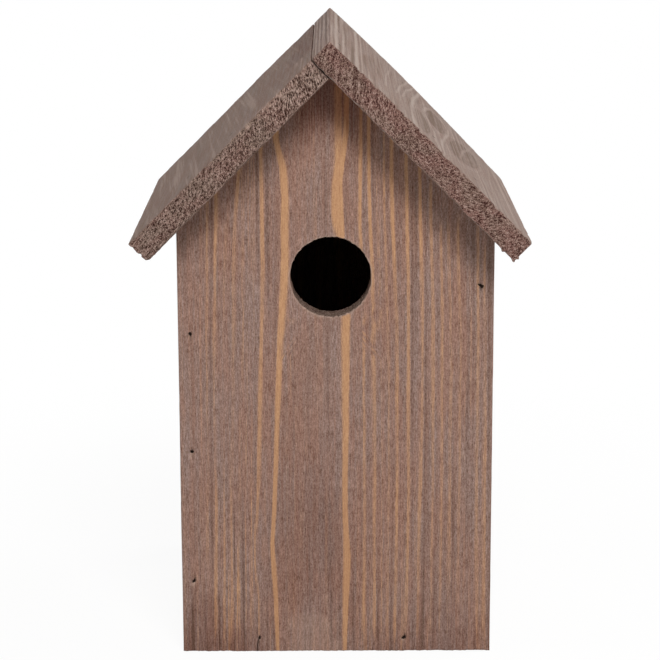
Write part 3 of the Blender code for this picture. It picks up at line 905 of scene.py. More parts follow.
class Skin:
    """The closed skin of a slab: a grid over each of its six faces, with holes let in.

    A hole's wall is closed in steps. A blind hole's middle is dished deeper than its wall. The
    rings round a hole crowd toward its rim, where one that goes through also has narrow
    collars.
    """

    blind_steps: int = 4
    through_steps: int = 10
    dished: float = 1.05
    collars: Triple = (0.0005, 0.0003, 0.00012)
    crowding: float = 1.7
    stain_and_shade_reach: float = 0.00018

    def __init__(self, lines: Sequence[np.ndarray], low: Edge, high: Edge) -> None:
        """Lays the grids.

        Args:
            lines: Places of the grid's lines along u and v, and shares of the length.
            low: Where the board starts along w, by u and v.
            high: Where it ends.
        """
        grid = np.stack(np.meshgrid(*lines, indexing="ij"), axis=-1)
        outside = np.zeros(grid.shape[:3], bool)
        for axis in range(3):
            outside.swapaxes(0, axis)[[0, -1]] = True
        self.index = np.full(outside.shape, -1)
        self.index[outside] = np.arange(outside.sum())
        points = grid[outside]
        start, stop = (limit(points[:, 0], points[:, 1]) for limit in (low, high))
        points[:, 2] = start + points[:, 2] * (stop - start)
        self.points = [points]
        self.count = len(points)
        self.stain_and_shade = [np.zeros(len(points))]
        self.faces: list[np.ndarray] = []
        self.open = {side: np.ones(np.array(self.plane(side).shape) - 1, bool) for side in Side}

    def plane(self, side: Side) -> np.ndarray:
        """The numbers of the points on one face, as a grid."""
        axis, end = side.value
        return self.index.take(end, axis=axis)

    def flipped(self, side: Side) -> bool:
        """Whether the face's grid runs clockwise when it is seen from outside."""
        axis, end = side.value
        return (end == 0) != (axis == 1)

    def add_points(self, points: np.ndarray, stain_and_shade: float) -> np.ndarray:
        """Adds points, all with one share of darkening, and returns their numbers."""
        self.points.append(points)
        self.stain_and_shade.append(np.full(len(points), stain_and_shade))
        self.count += len(points)
        return np.arange(self.count - len(points), self.count)

    def add_band(self, outer: np.ndarray, inner: np.ndarray, flip: bool) -> None:
        """Closes the band between two rings.

        Args:
            outer: The numbers of one ring's points, in order.
            inner: As many of the other's.
            flip: Whether they run clockwise when they are seen from outside.
        """
        quads = np.stack([outer, np.roll(outer, -1), np.roll(inner, -1), inner], axis=1)
        self.faces.append(quads[:, ::-1] if flip else quads)

    def window(self, hole: Hole, side: Side) -> np.ndarray:
        """Clears the face's grid round a hole.

        Args:
            hole: The hole.
            side: The face.

        Returns:
            The numbers of the points round the cleared window, in order.
        """
        plane = self.plane(side)
        points = self.points[0]
        axes = [axis for axis in range(3) if axis != side.value[0]]
        near = points[plane][..., axes] - hole.centre
        middle = np.unravel_index(np.argmin(np.hypot(near[..., 0], near[..., 1])), plane.shape)
        columns = np.flatnonzero(np.abs(near[:, middle[1], 0]) <= hole.reach[0])
        rise = near[middle[0], :, 1]
        rows = np.flatnonzero((np.abs(rise) <= hole.reach[1]) & (rise >= -hole.low_reach))
        a, b, c, d = columns[0], columns[-1], rows[0], rows[-1]
        self.open[side][a:b, c:d] = False
        return np.concatenate(
            [plane[a:b, c], plane[b, c:d], plane[b:a:-1, d], plane[a, d:c:-1]]
        )

    def let_in(self, hole: Hole) -> None:
        """Lets a hole into its face, and out of the far one if it goes through."""
        axis, end = hole.side.value
        inward = 1 if end == 0 else -1
        flip = self.flipped(hole.side)
        previous = self.rim(hole, hole.side)
        start = np.concatenate(self.points)[previous]
        steps = self.through_steps if hole.through else self.blind_steps
        for step in range(1, steps if hole.through else steps + 1):
            wall = start.copy()
            wall[:, axis] += inward * hole.depth * (step / steps)
            ring = self.add_points(wall, hole.stain_and_shade_share)
            self.add_band(previous, ring, flip)
            previous = ring
        if hole.through:
            self.add_band(previous, self.rim(hole, Side((axis, -1))), flip)
            return
        middle = start.mean(axis=0)
        middle[axis] += inward * hole.depth * self.dished
        centre = np.broadcast_to(self.add_points(middle[None], hole.stain_and_shade_share), previous.shape)
        tips = np.stack([previous, np.roll(previous, -1), centre], axis=1)
        self.faces.append(tips[:, ::-1] if flip else tips)

    def rim(self, hole: Hole, side: Side) -> np.ndarray:
        """Fills the window round a hole with rings.

        Args:
            hole: The hole.
            side: The face.

        Returns:
            The numbers of the points on the hole's rim.
        """
        loop = self.window(hole, side)
        axes = [axis for axis in range(3) if axis != side.value[0]]
        outer = self.points[0][loop]
        away = outer[:, axes] - hole.centre
        angle = np.arctan2(away[:, 1], away[:, 0])
        radius = hole.radius(angle)
        direction = np.stack([np.cos(angle), np.sin(angle)], axis=1)
        span = np.linalg.norm(away, axis=1) - radius
        previous = loop
        flip = self.flipped(side)
        collars = self.collars if hole.through else ()
        shares = [1 - (1 - step / hole.rings) ** self.crowding for step in range(1, hole.rings)]
        gaps = [span * (1 - share) + (collars[0] if collars else 0) for share in shares]
        gaps += [np.full_like(span, collar) for collar in collars] + [0 * span]
        for gap in gaps:
            points = outer.copy()
            points[:, axes] = hole.centre + direction * (radius + np.minimum(gap, span))[:, None]
            # Painted shade and stain fade out from the rim.
            near = hole.stain_and_shade_share * math.exp(-float(np.mean(gap)) / self.stain_and_shade_reach)
            ring = self.add_points(points, near)
            self.add_band(previous, ring, flip)
            previous = ring
        return previous

    def close(self) -> tuple[np.ndarray, np.ndarray, list[np.ndarray]]:
        """Closes the skin.

        Returns:
            The points, their bruises, and the faces as arrays of point numbers.
        """
        for side in Side:
            plane = self.plane(side)
            corners = [plane[:-1, :-1], plane[1:, :-1], plane[1:, 1:], plane[:-1, 1:]]
            quads = np.stack(corners, axis=-1)[self.open[side]]
            self.faces.append(quads[:, ::-1] if self.flipped(side) else quads)
        return np.concatenate(self.points), np.concatenate(self.stain_and_shade), self.faces


@dataclass(frozen=True)
class Ruling:
    """How far apart a slab's grid lines are, and where they are closer together."""

    u: float
    v: float
    w: float
    fine_w: tuple[float, ...] = ()
    fine_reach: float = 0.0036
    fine_step: float = 0.0007
    insets: tuple[float, ...] = (0.00015, 0.00035, 0.0006, 0.0009, 0.0013)
    least: float = 0.0001

    def lines(
        self, low: float, high: float, step: float, fine: Sequence[float] = ()
    ) -> np.ndarray:
        """Lines from low to high, closer together at both ends.

        Args:
            low: The first line.
            high: The last line.
            step: The usual distance between lines.
            fine: Middles of the stretches where they are closer together.

        Returns:
            The places of the lines, rising.
        """
        places = np.linspace(low, high, max(round((high - low) / step), 1) + 1)
        for middle in fine:
            inner = np.arange(-self.fine_reach, self.fine_reach, self.fine_step) + middle
            places = np.concatenate([places[np.abs(places - middle) > self.fine_reach], inner])
        insets = np.array(self.insets)
        places = np.sort(np.concatenate([places, low + insets, high - insets]))
        kept = [low]
        for place in places:
            if place - kept[-1] > self.least and high - place > self.least:
                kept.append(float(place))
        return np.array([*kept, high])


def join_mesh(name: str, points: np.ndarray, faces: Sequence[np.ndarray]) -> bpy.types.Mesh:
    """Builds a smooth mesh.

    Args:
        name: The mesh's name.
        points: Its points.
        faces: Arrays of triangles and arrays of quads, as point numbers.

    Returns:
        The mesh.
    """
    mesh = bpy.data.meshes.new(name)
    corners = np.concatenate([face.reshape(-1) for face in faces]).astype(np.int32)
    sizes = np.concatenate([np.full(len(face), face.shape[1]) for face in faces])
    mesh.vertices.add(len(points))
    mesh.vertices.foreach_set("co", points.astype(np.float32).reshape(-1))
    mesh.loops.add(len(corners))
    mesh.loops.foreach_set("vertex_index", corners)
    mesh.polygons.add(len(sizes))
    starts = np.concatenate([[0], np.cumsum(sizes)[:-1]])
    mesh.polygons.foreach_set("loop_start", starts.astype(np.int32))
    mesh.update(calc_edges=True)
    mesh.shade_smooth()
    mesh.validate()
    return mesh


def install(
    mesh: bpy.types.Mesh, node: str, body: str, finish: Finish
) -> bpy.types.Object:
    """Puts a mesh in the place of a CAD node.

    Args:
        mesh: The piece's mesh, in the place that it has at rest.
        node: The CAD node that it stands for.
        body: The CAD body that it rides on.
        finish: The piece's finish.

    Returns:
        The piece.
    """
    mesh.materials.append(finish.material())
    piece = bpy.data.objects.new(mesh.name, mesh)
    bpy.context.scene.collection.objects.link(piece)
    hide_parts(node)
    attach(piece, body)
    LOG.info("%s: %d faces", piece.name, len(mesh.polygons))
    return piece


@dataclass(frozen=True)
class Lay:
    """How a slab lies: its origin and its directions of u, v and w."""

    origin: Triple
    across: Triple
    inward: Triple
    along: Triple


@dataclass
class Slab:
    """A flat piece that stands for a CAD node."""

    node: str
    slot: str
    finish: Finish
    lay: Lay
    width: Pair
    thickness: float
    low: Edge
    high: Edge
    ruling: Ruling
    seed: int
    body: str = "box"
    holes: tuple[Hole, ...] = ()
    rounding: float = 0.00055
    arris_reach: float = 0.0007
    grain_shift: Triple = (0.31, 0.17, 0.0)

    def skin(self) -> Skin:
        """The sharp skin with its holes."""
        middle = np.array([sum(self.width) / 2])
        start, stop = (float(edge(middle, middle)[0]) for edge in (self.low, self.high))
        u = self.ruling.lines(*self.width, self.ruling.u)
        v = self.ruling.lines(0.0, self.thickness, self.ruling.v)
        w = self.ruling.lines(start, stop, self.ruling.w, self.ruling.fine_w)
        skin = Skin((u, v, (w - start) / (stop - start)), self.low, self.high)
        for hole in self.holes:
            skin.let_in(hole)
        return skin

    def softness(self, points: np.ndarray) -> np.ndarray:
        """How round the arris near each point is, as a share of the usual."""
        return np.ones(len(points))

    def softened(self, points: np.ndarray, noise: Noise) -> tuple[np.ndarray, np.ndarray]:
        """Rounds the arrises.

        Args:
            points: Points of the sharp skin.
            noise: The slab's noise.

        Returns:
            The rounded points and the direction out of the slab at each.
        """
        radius = self.rounding * (1.2 + 0.25 * noise(points, (0.005, 0.005, 0.005)))
        radius *= self.softness(points)
        u, v, _ = points.T
        low = np.stack([0 * u + self.width[0], 0 * u, self.low(u, v)], axis=1)
        high = np.stack([0 * u + self.width[1], 0 * u + self.thickness, self.high(u, v)], axis=1)
        core = np.clip(points, low + radius[:, None], high - radius[:, None])
        for hole in self.holes:
            if hole.through:
                away, reach, _, rim = hole.polar(points)
                ring = rim + radius
                near = reach < ring
                core[near, 0] = hole.centre[0] + (away[:, 0] / reach * ring)[near]
                core[near, 2] = hole.centre[1] + (away[:, 1] / reach * ring)[near]
        out = points - core
        length = np.linalg.norm(out, axis=1)
        direction = out / np.maximum(length, 1e-9)[:, None]
        sunk = length > 1.9 * radius
        moved = core + direction * np.minimum(length, radius)[:, None]
        moved[sunk], direction[sunk] = points[sunk], 0.0
        return moved, direction

    def arris(self, points: np.ndarray) -> np.ndarray:
        """How near each point is to an arris: 1 on it and 0 well away."""
        u, v, w = points.T
        gaps = [
            np.minimum(u - self.width[0], self.width[1] - u),
            np.minimum(v, self.thickness - v),
            np.minimum(w - self.low(u, v), self.high(u, v) - w),
        ]
        for hole in self.holes:
            if hole.through:
                _, reach, _, rim = hole.polar(points)
                gaps.append(reach - rim)
        second = np.sort(np.stack(gaps, axis=1), axis=1)[:, 1]
        return np.exp(-np.maximum(second, 0) / self.arris_reach)

    def shape(
        self, points: np.ndarray, moved: np.ndarray, direction: np.ndarray, noise: Noise
    ) -> tuple[np.ndarray, Masks]:
        """The slab's surface: where its points end up, and the masks that its finish reads.

        Args:
            points: Points of the sharp skin.
            moved: The rounded points.
            direction: The direction out of the slab at each.
            noise: The slab's noise.

        Returns:
            The points and the masks by name.
        """
        return moved, {}

    def build(self) -> bpy.types.Object:
        """Builds the slab in its CAD node's place."""
        noise = Noise(self.seed)
        points, stain_and_shade, faces = self.skin().close()
        moved, direction = self.softened(points, noise)
        moved, masks = self.shape(points, moved, direction, noise)
        axes = np.array([self.lay.across, self.lay.inward, self.lay.along])
        if np.linalg.det(axes) < 0:
            faces = [face[:, ::-1] for face in faces]
        mesh = join_mesh(self.node + "_skin", np.array(self.lay.origin) + moved @ axes, faces)
        masks["stain_and_shade"] = np.maximum(stain_and_shade, masks.get("stain_and_shade", 0.0))
        for name, values in masks.items():
            written = mesh.attributes.new(name, "FLOAT", "POINT")
            written.data.foreach_set("value", values.astype(np.float32))
        grain = mesh.attributes.new("grain", "FLOAT_VECTOR", "POINT")
        placed = points + np.array(self.grain_shift) * self.seed
        grain.data.foreach_set("vector", placed.astype(np.float32).reshape(-1))
        return install(mesh, self.node, self.body, self.finish)


@dataclass
class Board(Slab):
    """A sawn board of stained softwood."""

    figure: Optional[Figure] = None
    tear: float = 0.00018
    chips: float = 0.0007
    late_rise: float = 0.00004
    fuzz: float = 0.00003
    waves: float = 0.00006
    planed_off: float = 0.0001

    def carved(
        self, points: np.ndarray, direction: np.ndarray, noise: Noise
    ) -> tuple[np.ndarray, Masks]:
        """Damage and stains of its own.

        Args:
            points: Points of the sharp skin.
            direction: The direction out of the board at each.
            noise: The board's noise.

        Returns:
            How far each point moves, and masks by name.
        """
        return np.zeros_like(points), {}

    def shape(
        self, points: np.ndarray, moved: np.ndarray, direction: np.ndarray, noise: Noise
    ) -> tuple[np.ndarray, Masks]:
        """See Slab: raised late wood, torn end grain and chipped arrises."""
        edge = self.arris(points)
        end = smooth(0.12, 0.5, np.abs(direction[:, 2]))
        figure = self.figure.strength(points, noise)
        ring = self.figure.ring(points)
        along = np.stack([ring, *points.T[:2]], axis=1)
        torn = 0.9 * noise(points, (0.00055, 0.00055, 0.01))
        torn = torn + 0.35 * noise(points, (0.0012, 0.0012, 0.01))
        torn = torn + 0.9 * noise(along, (0.0006, 0.0024, 0.0024))
        planed = self.late_rise * figure + self.fuzz * noise(points, (0.0007, 0.0007, 0.015))
        planed += self.waves * noise(points, (0.020, 0.020, 0.060)) - self.planed_off
        sawn = self.tear * (0.62 * np.clip(torn, -1.4, 1.0) - 0.62)
        chipped = np.maximum(noise(points, (0.0035, 0.0035, 0.006)) - 0.30, 0) * edge
        height = np.minimum(planed * (1 - end) + sawn * end - self.chips * chipped, 0)
        shift, masks = self.carved(points, direction, noise)
        moved = moved + direction * height[:, None] + shift
        plain = {"damp_and_shade": 0 * edge, "fresh": 0 * edge, "stroked": 0 * edge}
        own = {"figure": figure, "ring": ring, "end": end, "edge": edge, "torn": torn}
        return moved, own | plain | masks


@dataclass
class FrontBoard(Board):
    """The front board, with a split at its foot and torn fibres round its holes.

    Its foot is damp, but drier in the middle. Below the ridge it is painted darker as painted
    shade, where the roof shades it. The tails are the ways that the bruise at each hole runs
    along the grain. Marks go no deeper into the board than the mark depth.
    """

    chips: float = 0.0003
    crisp_foot: float = 0.002
    mark_depth: float = 0.001
    split_foot: float = -0.02973
    split_reach: float = 0.0064
    split_width: float = 0.00024
    split_depth: float = 0.0006
    tails: tuple[float, ...] = (0.0, 1.0, 0.5, -1.0, 0.3, 1.0, -1.0)
    damp_height: float = 0.030
    dry_middle: float = -0.008
    # Painted shade below the ridge: its reach across, and its reach down from the gable.
    ridge_shade: Pair = (0.012, 0.026)
    spill_middle: Pair = (-0.0003, 0.050)
    spill_size: Pair = (0.0048, 0.020)
    washed_size: Pair = (0.012, 0.018)
    speck: Pair = (0.0533, 0.0844)
    speck_size: Pair = (0.00035, 0.0005)

    def softness(self, points: np.ndarray) -> np.ndarray:
        """See Slab. The foot keeps a crisp arris."""
        return np.where(points[:, 2] < self.crisp_foot, 0.4, 1.0)

    def split(self, points: np.ndarray) -> np.ndarray:
        """1 in the split, which starts at a nail and runs down to the foot."""
        u, v, w = points.T
        share = np.clip(w / self.split_reach, 0, 1)
        bow = 0.0011 * (1 - share) ** 1.5 + 0.0004 * np.sin(math.pi * share)
        there = (w < self.split_reach) & (v < 0.004)
        return hump(u - self.split_foot + bow, self.split_width) * there

    def torn_rims(self, points: np.ndarray, noise: Noise) -> tuple[np.ndarray, np.ndarray]:
        """Fresh fibres round the holes, and dark stain tails at the nail holes.

        Args:
            points: Points of the sharp skin.
            noise: The board's noise.

        Returns:
            How fresh the wood is, and how dark the stain tails are.
        """
        tuft = noise(points, (0.0006, 0.0006, 0.0012))
        fresh, stain_and_shade_share = np.zeros(len(points)), np.zeros(len(points))
        for hole, way in zip(self.holes, self.tails):
            away, reach, angle, rim = hole.polar(points)
            if hole.through:
                fibres = hump(reach - rim, 0.0007) * (0.55 + 0.6 * tuft)
            else:
                fibres = hump(reach - rim - 0.00035, 0.0004) * hump(angle + 1.9, 0.9)
                fibres = fibres * (0.7 + 0.5 * tuft)
                tail = hump(away[:, 0] - 0.30 * way * away[:, 1], 0.00034)
                tail = tail * hump(away[:, 1] - 0.0007 * way, 0.0009)
                stain_and_shade_share = np.maximum(stain_and_shade_share, 0.85 * tail)
            fresh = np.maximum(fresh, fibres)
        return fresh, stain_and_shade_share

    def damp_and_shade(self, points: np.ndarray, noise: Noise) -> np.ndarray:
        """Damp at the foot and above it in the middle, and painted shade below the ridge."""
        u, v, w = points.T
        rise = w / self.damp_height + 0.25 * noise(points, (0.010, 0.010, 0.020))
        beside = smooth(0.006, 0.034, np.abs(u - self.dry_middle))
        damp_and_shade = fade(0.0, 1.0, rise) * beside * np.where(u < self.dry_middle, 0.70, 0.45)
        damp_and_shade = damp_and_shade * (0.90 + 0.3 * noise(points, (0.0014, 0.02, 0.05)))
        middle = hump(u - self.dry_middle, 0.018)
        damp_and_shade = damp_and_shade + 0.34 * middle * smooth(0.010, 0.028, w) * fade(0.050, 0.110, w)
        # Painted shade: darker just below the ridge, where the roof overhang shades the front.
        under_ridge = fade(0.002, self.ridge_shade[1], self.high(u, v) - w)
        return damp_and_shade + 1.7 * under_ridge * hump(u, self.ridge_shade[0])

    def patch(
        self, points: np.ndarray, middle: Pair, size: Pair, rim: np.ndarray, soft: Pair
    ) -> np.ndarray:
        """An oval patch with an uneven rim.

        Args:
            points: Points of the sharp skin.
            middle: The patch's middle along u and w.
            size: Its reach along u and w.
            rim: How far its rim wanders.
            soft: The shares of its reach where it starts to fade and where it ends.

        Returns:
            1 in the patch and 0 beyond it.
        """
        gap = np.hypot((points[:, 0] - middle[0]) / size[0], (points[:, 2] - middle[1]) / size[1])
        return fade(*soft, gap + rim)

    def carved(
        self, points: np.ndarray, direction: np.ndarray, noise: Noise
    ) -> tuple[np.ndarray, Masks]:
        """See Board."""
        u, v, w = points.T
        on_face = v < self.mark_depth
        split = self.split(points)
        shift = np.zeros_like(points)
        shift[:, 1] = self.split_depth * split * (direction[:, 1] < -0.5)
        fresh, stain_and_shade_share = self.torn_rims(points, noise)
        edge = 0.35 * noise(points, (0.0016, 0.01, 0.005))
        spill = self.patch(points, self.spill_middle, self.spill_size, edge, (0.80, 0.92))
        edge = 0.25 * noise(points, (0.006, 0.01, 0.006))
        foot = (self.dry_middle, 0.0)
        washed = self.patch(points, foot, self.washed_size, edge, (0.80, 1.0))
        speck = hump(u - self.speck[0], self.speck_size[0])
        speck = speck * hump(w - self.speck[1], self.speck_size[1])
        fresh = np.maximum(np.maximum(fresh, speck), 0.16 * washed) * on_face
        # The split is painted near black as painted shade in the crack; the nail tails and the
        # spill are dark stains.
        stain_and_shade = np.maximum(1.2 * np.maximum(split, stain_and_shade_share * on_face), 0.09 * spill * on_face)
        masks = {"stain_and_shade": np.clip(stain_and_shade, 0, 1), "fresh": np.clip(fresh, 0, 1)}
        return shift, masks | {"damp_and_shade": self.damp_and_shade(points, noise)}


@dataclass
class RoofBoard(Board):
    """A roof board with a bowed weather face and a ragged lower arris in front.

    The eave may be scalloped by notches, reaches a little past the size, and may have tufts
    of splintered fibres at its front corner, each with a place before the eave and a length.
    The crown is how far the face bows out. A board that butts has a damp, stroked end.
    """

    crown: float = 0.0
    crown_front: float = 0.35
    crown_full: float = 0.160
    notch: float = 0.0
    notch_pitch: float = 0.0043
    notch_start: float = -1.35
    reach: float = 0.0005
    eave: float = 0.004
    tufts: tuple[Pair, ...] = ()
    tuft_width: float = 0.0007
    tuft_depth: float = 0.0005
    strokes: tuple[Pair, ...] = ((0.030, 0.014), (0.084, 0.012))
    joint: Pair = (0.021, 0.025)
    behind_front: Pair = (0.044, 0.054)
    butts: bool = False

    def softness(self, points: np.ndarray) -> np.ndarray:
        """See Slab. An end that butts keeps a crisp arris; the other is rounded below."""
        at_joint = points[:, 0] < self.width[0] + 0.002
        under = points[:, 1] > self.thickness - 0.003
        return np.where(at_joint, 0.25 if self.butts else 1.0 + 1.6 * under, 1.0)

    def bowed(self, points: np.ndarray) -> np.ndarray:
        """How far the face bows out at each point, as a share of the crown."""
        u, v, w = points.T
        along = (u - self.width[0]) / (self.width[1] - self.width[0])
        bow = np.sin(math.pi * np.clip(along, 0, 1) ** 0.85)
        if self.butts:
            bow = smooth(0.0, 0.35, along)
        to_rear = np.interp(w, (0.0, self.crown_full), (self.crown_front, 1.0))
        return bow * to_rear * (1 - np.clip(v / self.thickness, 0, 1))

    def stains(self, points: np.ndarray, drift: np.ndarray, noise: Noise) -> Masks:
        """Damp, fresh and stroked places of the end that butts.

        Args:
            points: Points of the sharp skin.
            drift: How far the places wander.
            noise: The board's noise.

        Returns:
            The masks by name.
        """
        u, v, w = points.T
        beside = fade(*self.joint, u + 0.0015 * drift)
        behind = smooth(*self.behind_front, w + 0.006 * noise(points, (0.0016, 0.02, 0.02)))
        shaded = 0.45 * beside * behind + 0.20 * fade(0.030, 0.060, u) * smooth(0.008, 0.020, w)
        lifted = np.maximum(noise(points, (0.0008, 0.02, 0.05)), 0) * beside * (1 - behind)
        strokes = np.maximum(noise(points, (0.0006, 0.02, 0.004)) - 0.05, 0)
        strokes = strokes * fade(0.002, 0.010, w) * smooth(0.018, 0.030, u) * fade(0.050, 0.062, u)
        fresh = (0.45 * lifted + 0.55 * strokes) * (v < 0.002)
        return {"damp_and_shade": shaded, "fresh": fresh, "stroked": fade(0.026, 0.044, u + 0.004 * drift)}

    def carved(
        self, points: np.ndarray, direction: np.ndarray, noise: Noise
    ) -> tuple[np.ndarray, Masks]:
        """See Board."""
        u, v, w = points.T
        drift = noise(points, (0.02, 0.006, 0.012))
        phase = v / self.notch_pitch * 2 * math.pi + self.notch_start + 0.5 * drift
        waves = smooth(0.35, 1.0, np.sin(phase)) * (0.7 + 0.5 * drift)
        rough = self.notch * waves + 0.00008 * (1 + noise(points, (0.02, 0.0014, 0.002)))
        near_eave = smooth(self.width[1] - self.eave, self.width[1], u)
        shift = np.zeros_like(points)
        shift[:, 0] = (self.reach - rough) * near_eave
        fringe = noise(points, (0.0013, 0.02, 0.02)) + noise(points, (0.0032, 0.02, 0.02))
        low = smooth(self.thickness - 0.003, self.thickness, v) * fade(0.0, 0.005, w)
        shift[:, 1] = (0.0003 * fringe - 0.0004) * low - self.crown * self.bowed(points)
        in_front = fade(0.0, 0.002, w)
        for place, size in self.tufts:
            shift[:, 1] += size * hump(u - self.width[1] + place, self.tuft_width) * low
            across = hump(v - self.thickness + 0.4 * place, self.tuft_depth)
            shift[:, 0] += 0.7 * size * across * in_front * near_eave
        top = fade(0.0, 0.002, v) * fade(0.0, 0.003, w)
        shift[:, 1] += np.maximum(noise(points, (0.0014, 0.02, 0.02)) - 0.1, 0) * 0.0006 * top
        if self.butts:
            return shift, self.stains(points, drift, noise)
        stroked = sum(hump(u - middle, width) for middle, width in self.strokes)
        # Painted shade: the end-cut strip at the ridge, the face toward -u, is darkened, as it
        # faces away from the key lamp like the left slope.
        return shift, {"damp_and_shade": 0.55 * (direction[:, 0] < -0.5), "stroked": 0.6 * stroked}


def square(value: float) -> Edge:
    """An end that is square to the grain."""
    return lambda u, v: np.full_like(u, value)


MARK_RADIUS = 0.00064
MARK_RAGGED = 0.32
MARK_DEPTH = 0.00046
MARK_WINDOW = (0.0021, 0.0021)


def nail_hole(place: Pair, number: int, radius: float = MARK_RADIUS) -> Hole:
    """The small ragged hole over a sunk nail head.

    Args:
        place: Its middle on the weather face.
        number: A number of its own, which turns its rim.
        radius: Its usual radius.

    Returns:
        The hole.
    """
    rim = RaggedRim(radius, MARK_RAGGED, 1.7 * number)
    # Its wall and floor are painted near black: painted shade in the hole over the nail head.
    return Hole(Side.WEATHER, place, rim, MARK_DEPTH, MARK_WINDOW, rings=6, stain_and_shade_share=1.0)


